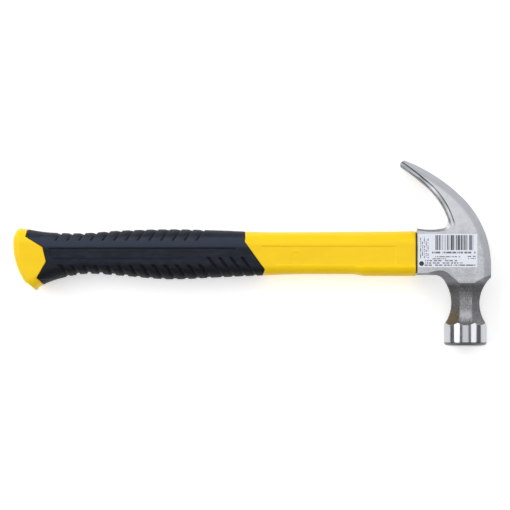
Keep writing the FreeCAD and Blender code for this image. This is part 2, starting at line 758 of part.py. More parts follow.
def nail_slot():
    """The tapered slot between the claws, wider on the side that meets the nail."""
    s = size
    angle = math.radians(s["slot_root_angle"])
    root = V(
        -s["throat_reach"] - s["claw_inner_radius"] * (1 - math.cos(angle)),
        s["throat_level"] + s["claw_inner_radius"] * math.sin(angle),
        0,
    )
    tip = V(-s["claw_tip_nose_reach"], s["claw_tip_nose_rise"], 0)
    along = (tip - root).normalize()
    across = along.cross(AXIS_Z)
    length = (tip - root).Length + 6
    sections = []
    for end, depth, widen in (("nail_side", -1.5, 1), ("back_side", s["slot_depth"], 0)):
        frame = FreeCAD.Matrix()
        frame.A11, frame.A21, frame.A31 = along.x, along.y, 0
        frame.A12, frame.A22, frame.A32 = 0, 0, 1
        frame.A13, frame.A23, frame.A33 = across.x, across.y, 0
        start = root + across * depth
        frame.A14, frame.A24, frame.A34 = start.x, start.y, 0
        sketch = new_sketch(f"slot_{end}", FreeCAD.Placement(frame))
        grow = s["slot_bevel"] * widen
        narrow, wide = s["slot_root_half"] + grow, s["slot_tip_half"] + grow
        grow_rule = f"{cell('slot_bevel')} * {widen}"
        narrow_rule = f"{cell('slot_root_half')} + {grow_rule}"
        wide_rule = f"{cell('slot_tip_half')} + {grow_rule}"
        polygon(
            sketch,
            [
                corner(0, "0 mm", -narrow, f"-({narrow_rule})"),
                corner(length, f"{length} mm", -wide, f"-({wide_rule})"),
                corner(length, f"{length} mm", wide, wide_rule),
                corner(0, "0 mm", narrow, narrow_rule),
            ],
        )
        sections.append(sketch)
    return loft_through("nail_slot", sections, ruled=True)


def build_head(side, eye):
    """The forged head: cheeks, claws, collar, octagonal neck and round poll."""
    o = Outline
    blank = extrude("head_blank", side, 2 * REACH_OUT)
    across = extrude("head_across", width_profile(), 4 * REACH_OUT)
    plate = boolean("Common", "head_plate", blank, across)
    geometry = [edge.toShape() for edge in side.Geometry]
    collar = V(-size["collar_reach"], 0, 0)
    forehead = V(size["head_top"], -size["neck_drop"] / 2, 0)
    runs = {
        "back": ((o.COLLAR_BOTTOM, o.NECK_BLEND, o.NECK_BACK), collar, V(-1, -1, 0)),
        "front": ((o.NECK_FRONT,), forehead, V(1, 0, 0)),
        "outer": ((o.HEAD_EDGE, o.CLAW_OUTER, o.CLAW_OUTER_TIP), forehead, V(1, 1, 0)),
        "claw": ((o.COLLAR_TOP, o.THROAT, o.CLAW_INNER, o.CLAW_INNER_TIP), collar, V(-1, 1, 0)),
        "collar": ((o.COLLAR_END,), collar, V(-1, 0, 0)),
    }
    for name, (indices, start_near, outside) in runs.items():
        cutter = bevel_cutter(name, [geometry[i] for i in indices], start_near, outside)
        plate = boolean("Cut", f"head_after_{name}", plate, cutter)
        plate = boolean("Cut", f"head_after_{name}_mirror", plate, mirrored(f"{name}_mirror", cutter))
    poll = chain(
        "Common",
        "poll_block",
        [
            poll_round(),
            flare_bar("flare_side", 0, "neck_waist"),
            flare_bar("flare_front", 90, "neck_waist"),
            flare_bar("flare_corner_a", 45, "neck_corner_waist"),
            flare_bar("flare_corner_b", -45, "neck_corner_waist"),
        ],
    )
    whole = boolean("Fuse", "head_solid", plate, poll)
    whole.Refine = True
    eyed = boolean("Cut", "head_with_eye", whole, eye)
    return boolean("Cut", "head", eyed, nail_slot())


# ---------------------------------------------------------------- handle


def envelope(name, inset_rule, inset):
    """The handle's outer shape, or the same shape taken in by an inset all round."""
    sections = []
    for station in STATIONS:
        reach, top, bottom, half, radius = (size[f"{station}_{what}"] for what in STATION_SIZES)
        cells = {what: cell(f"{station}_{what}") for what in STATION_SIZES}
        sections.append(
            box_section(
                f"{name}_{station}",
                -reach,
                f"-{cells['reach']} * 1 mm",
                (
                    f"-({cells['bottom']} - {inset_rule})",
                    f"{cells['top']} - {inset_rule}",
                    f"{cells['half']} - {inset_rule}",
                    f"{cells['corner']} - {inset_rule}",
                ),
                (-bottom + inset, top - inset, half - inset, radius - inset),
            )
        )
    return loft_through(name, sections)


def butt_round():
    """Everything in front of the butt's end arc, as a deep block."""
    s = size
    radius, rise = s["butt_arc_radius"], s["butt_arc_rise"]
    centre = V(-s["handle_reach"] + radius, rise, 0)
    high, low = V(centre.x, rise + radius, 0), V(centre.x, rise - radius, 0)
    sketch = new_sketch("butt_profile")
    sketch.addGeometry(arc_from_to(centre, high, low))
    sketch.addGeometry(Part.LineSegment(low, V(REACH_OUT, low.y, 0)))
    sketch.addGeometry(Part.LineSegment(V(REACH_OUT, low.y, 0), V(REACH_OUT, high.y, 0)))
    sketch.addGeometry(Part.LineSegment(V(REACH_OUT, high.y, 0), high))
    for ends in ((0, 2, 1, 1), (1, 2, 2, 1), (2, 2, 3, 1)):
        sketch.addConstraint(Sketcher.Constraint("Coincident", *ends))
    sketch.addConstraint(Sketcher.Constraint("Tangent", 3, 2, 0, 1))
    sketch.addConstraint(Sketcher.Constraint("Horizontal", 1))
    sketch.addConstraint(Sketcher.Constraint("Horizontal", 3))
    sketch.addConstraint(Sketcher.Constraint("Vertical", 2))
    bind(sketch, "Radius", (0,), radius, cell("butt_arc_radius"))
    lock(sketch, 0, 3, f"{cell('butt_arc_radius')} - {cell('handle_reach')}", cell("butt_arc_rise"))
    lock(sketch, 1, 2, f"{REACH_OUT} mm", None)
    return extrude("butt_round", sketch, 2 * REACH_OUT)


def grip_range(name, gap, gap_rule):
    """A deep block covering the rubber grip's stretch, shortened by a gap at both ends."""
    corners = []
    for alias in GRIP_HEAD_EDGE:
        x, y = -size[f"{alias}_reach"] - gap, size[f"{alias}_rise"]
        corners.append(corner(x, f"-{cell(alias + '_reach')} - {gap_rule}", y, cell(alias + "_rise")))
    for alias in reversed(GRIP_BUTT_EDGE):
        x, y = -size[f"{alias}_reach"] + gap, size[f"{alias}_rise"]
        corners.append(corner(x, f"-{cell(alias + '_reach')} + {gap_rule}", y, cell(alias + "_rise")))
    return extrude(name, polygon(new_sketch(name + "_profile"), corners), 2 * REACH_OUT)


def groove_rows():
    """Three rows of slanted grooves, drawn as slim bands that run off the edge of the grip."""
    reach = 24.0
    tools = []
    for row in GROOVES:
        first, level, run = (size[f"{row}_{what}"] for what in ("first", "level", "run"))
        up = 1 if level > 0 else -1
        edge = reach * up
        lean = run * (edge - level) / (up * 10.0)
        half = size["groove_width"] / 2
        names = {what: cell(f"{row}_{what}") for what in ("first", "level", "run")}
        lean_rule = f"{names['run']} * ({edge} - {names['level']}) / {up * 10.0}"
        half_rule = f"{cell('groove_width')} / 2"
        for i in range(int(size[f"{row}_count"])):
            x = -first + i * size["groove_pitch"]
            x_rule = f"-{names['first']} + {i} * {cell('groove_pitch')}"
            sketch = new_sketch(f"{row}_groove_{i + 1}_profile")
            polygon(
                sketch,
                [
                    corner(x - half, f"{x_rule} - {half_rule}", level, names["level"]),
                    corner(x + half, f"{x_rule} + {half_rule}", level, names["level"]),
                    corner(x + lean + half, f"{x_rule} + {lean_rule} + {half_rule}", edge, f"{edge} mm"),
                    corner(x + lean - half, f"{x_rule} + {lean_rule} - {half_rule}", edge, f"{edge} mm"),
                ],
            )
            tools.append(extrude(f"{row}_groove_{i + 1}", sketch, 2 * REACH_OUT))
    rows = doc.addObject("Part::MultiFuse", "groove_rows")
    rows.Shapes = tools
    return rows


def guard_rib():
    """The thicker underside of the jacket behind the head, rising out of it in a short ramp."""
    s = size
    sections = []
    start = s["guard_start"]
    full = s["guard_start"] - s["guard_run"]
    finish = s["collar_reach"] + s["resin_bead"]
    start_rule = f"-{cell('guard_start')} * 1 mm"
    full_rule = f"(-{cell('guard_start')} + {cell('guard_run')}) * 1 mm"
    finish_rule = f"(-{cell('collar_reach')} - {cell('resin_bead')}) * 1 mm"
    for name, reach, rule, sign in (
        ("start", start, start_rule, -1),
        ("full", full, full_rule, 1),
        ("finish", finish, finish_rule, 1),
    ):
        step, step_rule = -s["guard_sink"], f"(-{cell('guard_sink')})"
        if sign > 0:
            step, step_rule = s["guard_step"], cell("guard_step")
        values = (
            -s["shoulder_bottom"] - step, -s["guard_top"],
            s["shoulder_half"] + 0.4 * step, s["shoulder_corner"] / 2,
        )
        rules = (
            f"-{cell('shoulder_bottom')} - {step_rule}", f"-{cell('guard_top')}",
            f"{cell('shoulder_half')} + 0.4 * {step_rule}", f"{cell('shoulder_corner')} / 2",
        )
        # The corner arcs must fit inside the band's own height.
        limit = (values[1] - values[0]) / 2 * 0.95
        radius = min(values[3], limit)
        radius_rule = rules[3] if radius == values[3] else f"0.475 * (({rules[1]}) - ({rules[0]}))"
        sections.append(box_section(
            f"guard_{name}", -reach, rule,
            (rules[0], rules[1], rules[2], radius_rule), (values[0], values[1], values[2], radius),
        ))
    return loft_through("guard_rib", sections, ruled=True)


def side_panel():
    """The long recess in both flanks of the jacket, with slanted ends."""
    s = size
    floor = s["shaft_half"] - s["panel_depth"]
    sketch = new_sketch("side_panel_profile")
    left, right, slant = cell("panel_start"), cell("panel_finish"), cell("panel_slant")
    top, bottom = cell("panel_top"), cell("panel_bottom")
    low_left = -s["panel_start"] + s["panel_slant"]
    polygon(
        sketch,
        [
            corner(-s["panel_start"], f"-{left}", s["panel_top"], top),
            corner(low_left, f"-{left} + {slant}", -s["panel_bottom"], f"-{bottom}"),
            corner(-s["panel_finish"], f"-{right}", -s["panel_bottom"], f"-{bottom}"),
            corner(-s["panel_finish"], f"-{right}", s["panel_top"], top),
        ],
    )
    through = extrude("side_panel_through", sketch, 2 * REACH_OUT)
    keep = doc.addObject("Part::Box", "side_panel_keep")
    keep.Length, keep.Width, keep.Height = 4 * REACH_OUT, 2 * REACH_OUT, 2 * floor
    keep.setExpression("Height", f"({cell('shaft_half')} - {cell('panel_depth')}) * 2 mm")
    keep.Placement.Base = V(-4 * REACH_OUT, -REACH_OUT, -floor)
    keep.setExpression("Placement.Base.z", f"-({cell('shaft_half')} - {cell('panel_depth')}) * 1 mm")
    return boolean("Cut", "side_panel", through, keep)


def core_section(name, x, x_rule):
    return box_section(
        name, x, x_rule,
        (f"-{cell('core_bottom')}", cell("core_top"), cell("core_half"), cell("core_corner")),
        (-size["core_bottom"], size["core_top"], size["core_half"], size["core_corner"]),
    )


def core_rod(name):
    """The straight fibreglass rod that runs from the head's top nearly to the butt."""
    sections = [
        core_section(name + "_tail", -size["core_start"], f"-{cell('core_start')} * 1 mm"),
        core_section(name + "_end", size["head_top"], f"{cell('head_top')} * 1 mm"),
    ]
    return loft_through(name, sections, ruled=True)


def slab(name, left, left_rule, right, right_rule):
    """A plain block wide enough to cover any section, between two distances along X."""
    block = doc.addObject("Part::Box", name)
    block.Length, block.Width, block.Height = right - left, 2 * REACH_OUT, 2 * REACH_OUT
    block.setExpression("Length", f"(({right_rule}) - ({left_rule})) * 1 mm")
    block.Placement.Base = V(left, -REACH_OUT, -REACH_OUT)
    block.setExpression("Placement.Base.x", f"({left_rule}) * 1 mm")
    return block


def flush_trim(side):
    """What lies just above the curved top of the head: rod and resin are cut back to it."""
    recess_rule = cell("resin_recess")
    blank = extrude("flush_blank", side, 2 * REACH_OUT)
    blank.Placement.Base = V(-size["resin_recess"], 0, 0)
    blank.setExpression("Placement.Base.x", f"-{recess_rule} * 1 mm")
    block = slab("flush_block", -2.0, "-2", size["head_top"] + 10, f"{cell('head_top')} + 10")
    return boolean("Cut", "flush_trim", block, blank)


def build_resin(eye, core, flush):
    """Resin that fills the eye round the rod, with a thin bead between collar and jacket."""
    s = size
    trim = slab(
        "resin_trim", -s["collar_reach"], f"-{cell('collar_reach')}", s["head_top"], cell("head_top")
    )
    plug = boolean("Common", "resin_plug", eye, trim)
    inset = s["resin_inset"]
    sections = []
    bead_rule = f"(-{cell('collar_reach')} - {cell('resin_bead')}) * 1 mm"
    for end, x, rule in (
        ("low", -s["collar_reach"] - s["resin_bead"], bead_rule),
        ("high", -s["collar_reach"], f"-{cell('collar_reach')} * 1 mm"),
    ):
        inset_rule = cell("resin_inset")
        sections.append(box_section(
            f"resin_bead_{end}", x, rule,
            (
                f"-({cell('shoulder_bottom')} - {inset_rule})",
                f"{cell('shoulder_top')} - {inset_rule}",
                f"{cell('shoulder_half')} - {inset_rule}",
                f"{cell('shoulder_corner')} - {inset_rule}",
            ),
            (
                -s["shoulder_bottom"] + inset, s["shoulder_top"] - inset,
                s["shoulder_half"] - inset, s["shoulder_corner"] - inset,
            ),
        ))
    bead = loft_through("resin_bead_ring", sections, ruled=True)
    solid = boolean("Cut", "resin_flush", boolean("Fuse", "resin_solid", plug, bead), flush)
    return boolean("Cut", "eye_bond", solid, core)


def build_handle(core):
    """The jacket and the rubber grip moulded over it."""
    s = size
    finish = -s["collar_reach"] - s["resin_bead"]
    finish_rule = f"-{cell('collar_reach')} - {cell('resin_bead')}"
    outer = envelope("handle_outer", "0", 0)
    inner = envelope("handle_inner", cell("grip_wall"), s["grip_wall"])
    floor = envelope("groove_floor", cell("groove_depth"), s["groove_depth"])
    rounded = boolean("Common", "handle_rounded", outer, butt_round())
    ribbed = boolean("Fuse", "handle_ribbed", rounded, guard_rib())
    panelled = boolean("Cut", "handle_panelled", ribbed, side_panel())
    trim = slab("handle_trim", -s["handle_reach"] - 5, f"-{cell('handle_reach')} - 5", finish, finish_rule)
    handle = boolean("Common", "handle_whole", panelled, trim)

    sleeve = boolean("Cut", "grip_pocket", grip_range("pocket_range", 0, "0"), inner)
    jacket = boolean("Cut", "jacket", boolean("Cut", "jacket_solid", handle, sleeve), core)

    shell_range = grip_range("grip_range", s["grip_gap"], cell("grip_gap"))
    shell = boolean("Cut", "grip_shell", boolean("Common", "grip_solid", rounded, shell_range), inner)
    grooves = boolean("Cut", "groove_tools", groove_rows(), floor)
    return jacket, boolean("Cut", "grip", shell, grooves)


def build_label():
    """A thin rounded sticker on the upper cheek."""
    s = size
    sketch = new_sketch("label_outline", FreeCAD.Placement(V(0, 0, s["cheek_half"]), FreeCAD.Rotation()))
    sketch.setExpression("Placement.Base.z", f"{cell('cheek_half')} * 1 mm")
    rounded_box(
        sketch, -s["label_left"], s["label_right"], -s["label_bottom"], s["label_top"], s["label_corner"],
        (
            f"-{cell('label_left')}", cell("label_right"),
            f"-{cell('label_bottom')}", cell("label_top"), cell("label_corner"),
        ),
    )
    label = doc.addObject("Part::Extrusion", "label")
    label.Base = sketch
    label.DirMode = "Normal"
    label.Solid = True
    label.LengthFwd = s["label_thickness"]
    label.setExpression("LengthFwd", f"{cell('label_thickness')} * 1 mm")
    return label


# ---------------------------------------------------------------- finish and write


def lay_down(piece):
    """Move a finished piece so the hammer rests on Z = 0, centred over the origin."""
    half_length = (size["handle_reach"] - size["head_top"]) / 2
    middle = (size["claw_rise"] - size["face_drop"]) / 2
    piece.Placement.Base = V(half_length, -middle, size["poll_radius"])
    piece.setExpression("Placement.Base.x", f"({cell('handle_reach')} - {cell('head_top')}) / 2 * 1 mm")
    piece.setExpression("Placement.Base.y", f"-({cell('claw_rise')} - {cell('face_drop')}) / 2 * 1 mm")
    piece.setExpression("Placement.Base.z", f"{cell('poll_radius')} * 1 mm")


def check_state():
    """Stop if anything in the document failed to recompute."""
    for item in doc.Objects:
        if "Invalid" in item.State or "Error" in item.State:
            raise RuntimeError(f"{item.Label} did not recompute: {item.State}")


side = head_outline()
eye = eye_taper()
flush = flush_trim(side)
rod = core_rod("rod")
core = boolean("Cut", "core_rod", rod, flush)
head = build_head(side, eye)
resin = build_resin(eye, rod, flush)
jacket, grip = build_handle(rod)
label = build_label()
pieces = {
    "head": head,
    "core_rod": core,
    "eye_bond": resin,
    "jacket": jacket,
    "grip": grip,
    "label": label,
}
for node, piece in pieces.items():
    piece.Label = node
    lay_down(piece)
doc.recompute()
check_state()
os.makedirs("parts", exist_ok=True)
for node, piece in pieces.items():
    shape = piece.Shape
    if shape.isNull() or not shape.isValid():
        raise RuntimeError(f"{node} has no valid shape")
    print(node, len(shape.Solids), "solid(s)", round(shape.Volume / 1000, 2), "cm3", shape.BoundBox)
    shape.exportStep(f"parts/{node}.step")
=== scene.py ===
# Visual model of a claw hammer lying on its side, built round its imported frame.
#
# Sizes in the classes are millimetres measured from where the poll's axis crosses the
# handle's: X towards the head's top, Y towards the claws, Z up out of the labelled cheek.

import logging
import math
from bisect import bisect_right
from dataclasses import dataclass, field
from enum import Enum
from typing import Callable, Protocol, Sequence, Union

import bmesh
import bpy
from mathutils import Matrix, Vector

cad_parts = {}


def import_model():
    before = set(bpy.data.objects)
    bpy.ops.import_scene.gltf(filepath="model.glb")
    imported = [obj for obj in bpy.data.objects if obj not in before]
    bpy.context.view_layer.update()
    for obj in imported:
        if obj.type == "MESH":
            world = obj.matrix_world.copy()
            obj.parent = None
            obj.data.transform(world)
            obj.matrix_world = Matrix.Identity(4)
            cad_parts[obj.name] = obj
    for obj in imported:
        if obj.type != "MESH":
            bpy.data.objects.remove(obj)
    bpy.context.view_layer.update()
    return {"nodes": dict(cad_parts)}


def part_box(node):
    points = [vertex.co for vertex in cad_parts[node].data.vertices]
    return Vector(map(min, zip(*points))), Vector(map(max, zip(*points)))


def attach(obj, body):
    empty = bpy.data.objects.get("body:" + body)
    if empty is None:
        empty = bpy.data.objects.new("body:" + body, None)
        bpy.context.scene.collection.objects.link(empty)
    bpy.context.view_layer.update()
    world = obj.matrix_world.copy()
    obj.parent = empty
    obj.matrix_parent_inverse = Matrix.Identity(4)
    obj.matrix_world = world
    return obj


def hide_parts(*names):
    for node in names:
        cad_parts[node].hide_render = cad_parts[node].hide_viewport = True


log = logging.getLogger("claw_hammer")

MM = 0.001
RELIEF_NAME = "relief"

# Where the poll's axis crosses the handle's: millimetres in from the head's top, up from
# the striking face and up from the floor.
AXIS_FROM_TOP = 17.4
AXIS_FROM_FACE = 64.6
AXIS_HEIGHT = 14.95

Colour = tuple[float, float, float]
Section = tuple[float, float, float, float, float]
Column = tuple[int, int, float]
Socket = bpy.types.NodeSocket
Value = Union[Socket, float]
Tint = Union[Socket, Colour]


def srgb(red: int, green: int, blue: int) -> Colour:
    """Turn an eight-bit display colour into the linear colour a shader takes.

    Args:
        red: red, 0 to 255.
        green: green, 0 to 255.
        blue: blue, 0 to 255.

    Returns:
        The linear colour.
    """

    def linear(value: int) -> float:
        """One channel of the conversion."""
        part = value / 255
        return part / 12.92 if part <= 0.04045 else ((part + 0.055) / 1.055) ** 2.4

    return linear(red), linear(green), linear(blue)


def ease(value: float, low: float, high: float) -> float:
    """A smooth step.

    Args:
        value: the number to place on the step.
        low: where the step starts, at 0.
        high: where it ends, at 1.

    Returns:
        The step's height, 0 to 1.
    """
    part = min(max((value - low) / (high - low), 0.0), 1.0)
    return part * part * (3 - 2 * part)


def lerp(first: float, second: float, part: float) -> float:
    """The value a given part of the way from the first to the second."""
    return first + (second - first) * part


# ------------------------------------------------------------------ finishes


class Step(Enum):
    """How two numbers are combined in a node tree."""

    ADD = "ADD"
    SUBTRACT = "SUBTRACT"
    MULTIPLY = "MULTIPLY"
    DIVIDE = "DIVIDE"
    LESS = "LESS_THAN"
    GREATER = "GREATER_THAN"
    MAXIMUM = "MAXIMUM"
    POWER = "POWER"
    FLOOR = "FLOOR"
    ABSOLUTE = "ABSOLUTE"


class Recipe:
    """A material under construction, with short calls for the nodes it is made of."""

    def __init__(self, name: str, centre: Vector = Vector((0, 0, 0))) -> None:
        """Start a material with one principled shader.

        Args:
            name: the material's name.
            centre: the point, in metres, that the pattern's coordinates start from.
        """
        self.material = bpy.data.materials.new(name)
        self.material.use_nodes = True
        self.tree = self.material.node_tree
        self.shader = self.tree.nodes["Principled BSDF"]
        coordinates = self.tree.nodes.new("ShaderNodeTexCoord")
        shift = self.tree.nodes.new("ShaderNodeMapping")
        shift.inputs["Location"].default_value = tuple(-c / MM for c in centre)
        shift.inputs["Scale"].default_value = (1 / MM,) * 3
        self.tree.links.new(coordinates.outputs["Object"], shift.inputs["Vector"])
        self.place = shift.outputs[0]

    def fixed(self, **values: float) -> "Recipe":
        """Set shader sockets that are the same all over, named with underscores for spaces."""
        for name, value in values.items():
            label = name.replace("_", " ").title().replace("Ior", "IOR")
            self.shader.inputs[label].default_value = value
        return self

    def join(self, socket: Socket, value: Union[Value, Tint]) -> None:
        """Feed an input socket.

        Args:
            socket: the input.
            value: another socket to link from, or a plain number or colour.
        """
        if isinstance(value, Socket):
            self.tree.links.new(value, socket)
        elif isinstance(value, tuple) and socket.type == "RGBA":
            socket.default_value = (*value[:3], 1.0)
        else:
            socket.default_value = value

    def math(self, step: Step, first: Value, second: Value = 0.0) -> Socket:
        """Combine two numbers.

        Args:
            step: how to combine them.
            first: the first, a socket or a plain value.
            second: the second, likewise.

        Returns:
            The result's socket.
        """
        node = self.tree.nodes.new("ShaderNodeMath")
        node.operation = step.value
        self.join(node.inputs[0], first)
        self.join(node.inputs[1], second)
        return node.outputs[0]

    def product(self, *values: Value) -> Socket:
        """Multiply several numbers together."""
        total = values[0]
        for value in values[1:]:
            total = self.math(Step.MULTIPLY, total, value)
        return total

    def mix(self, amount: Value, first: Tint, second: Tint) -> Socket:
        """Blend from one colour to another.

        Args:
            amount: 0 for the first colour to 1 for the second.
            first: the first colour.
            second: the second colour.

        Returns:
            The blended colour's socket.
        """
        node = self.tree.nodes.new("ShaderNodeMix")
        node.data_type = "RGBA"
        self.join(node.inputs["Factor"], amount)
        self.join(node.inputs[6], first)
        self.join(node.inputs[7], second)
        return node.outputs[2]

    def span(
        self, value: Value, low: float, high: float, at_low: float = 0.0, at_high: float = 1.0
    ) -> Socket:
        """Map a number from one range onto another with a smooth, clamped ramp.

        Args:
            value: the number.
            low: one end of the range it comes from.
            high: the other end, which may be the lower of the two.
            at_low: the result at the first end.
            at_high: the result at the other end.

        Returns:
            The result's socket.
        """
        node = self.tree.nodes.new("ShaderNodeMapRange")
        node.interpolation_type = "SMOOTHSTEP"
        if low > high:
            low, high, at_low, at_high = high, low, at_high, at_low
        ends = {"From Min": low, "From Max": high, "To Min": at_low, "To Max": at_high}
        for name, number in ends.items():
            node.inputs[name].default_value = number
        self.join(node.inputs["Value"], value)
        return node.outputs[0]

    def between(self, value: Value, low: float, high: float, soft: float = 0.05) -> Socket:
        """1 inside a range of a number and 0 outside it.

        Args:
            value: the number.
            low: the range's lower end.
            high: its upper end.
            soft: how far each end is blurred to either side.

        Returns:
            The result's socket.
        """
        rising = self.span(value, low - soft, low + soft)
        return self.product(rising, self.span(value, high - soft, high + soft, 1.0, 0.0))

    def stretched(self, scale: Sequence[float]) -> Socket:
        """The piece's coordinates in millimetres, stretched along each axis.

        Args:
            scale: the factor along each axis.

        Returns:
            The coordinates' socket.
        """
        node = self.tree.nodes.new("ShaderNodeMapping")
        node.inputs["Scale"].default_value = tuple(scale)
        self.tree.links.new(self.place, node.inputs["Vector"])
        return node.outputs[0]

    def noise(self, scale: Sequence[float], detail: float = 4.0, rough: float = 0.55) -> Socket:
        """A soft noise between 0 and 1.

        Args:
            scale: features per millimetre along each axis.
            detail: how many finer layers are added.
            rough: how strong the finer layers are.

        Returns:
            The noise's socket.
        """
        node = self.tree.nodes.new("ShaderNodeTexNoise")
        node.inputs["Scale"].default_value = 1.0
        node.inputs["Detail"].default_value = detail
        node.inputs["Roughness"].default_value = rough
        self.tree.links.new(self.stretched(scale), node.inputs["Vector"])
        return node.outputs[0]

    def cells(self, scale: Sequence[float]) -> Socket:
        """The distance to the nearest of many scattered points, for pores and grains.

        Args:
            scale: points per millimetre along each axis.

        Returns:
            The distance's socket.
        """
        node = self.tree.nodes.new("ShaderNodeTexVoronoi")
        node.inputs["Scale"].default_value = 1.0
        self.tree.links.new(self.stretched(scale), node.inputs["Vector"])
        return node.outputs["Distance"]

    def chance(self, value: Value, module: float, seed: float = 0.0) -> Socket:
        """A fixed random number for each module of a length.

        Args:
            value: the place along the length.
            module: one module's length.
            seed: a number that picks another set.

        Returns:
            The random number's socket.
        """
        counted = self.math(Step.FLOOR, self.math(Step.DIVIDE, value, module))
        node = self.tree.nodes.new("ShaderNodeTexWhiteNoise")
        node.noise_dimensions = "1D"
        self.join(node.inputs["W"], self.math(Step.ADD, counted, seed))
        return node.outputs["Value"]

    def stored(self, name: str) -> Socket:
        """A number kept on the mesh's points.

        Args:
            name: the name it is kept under.

        Returns:
            The number's socket.
        """
        node = self.tree.nodes.new("ShaderNodeAttribute")
        node.attribute_name = name
        return node.outputs["Fac"]

    def axes(self) -> tuple[Socket, Socket, Socket]:
        """The piece's coordinates as three numbers, in millimetres."""
        node = self.tree.nodes.new("ShaderNodeSeparateXYZ")
        self.tree.links.new(self.place, node.inputs[0])
        return node.outputs[0], node.outputs[1], node.outputs[2]

    def finish(
        self, colour: Tint, rough: Value, height: Union[Socket, None] = None, lift: float = 0.05
    ) -> bpy.types.Material:
        """Join the last sockets and hand the material over.

        Args:
            colour: base colour, a socket or a colour.
            rough: roughness, a socket or a number.
            height: surface relief between 0 and 1, or None.
            lift: how far the relief stands, in millimetres.

        Returns:
            The finished material.
        """
        self.join(self.shader.inputs["Base Color"], colour)
        self.join(self.shader.inputs["Roughness"], rough)
        if height is not None:
            bump = self.tree.nodes.new("ShaderNodeBump")
            bump.inputs["Distance"].default_value = lift * MM
            self.join(bump.inputs["Height"], height)
            self.join(self.shader.inputs["Normal"], bump.outputs[0])
        return self.material


@dataclass(frozen=True)
class Sweep:
    """An arc of the head's side outline: its centre and radius."""

    x: float
    y: float
    radius: float


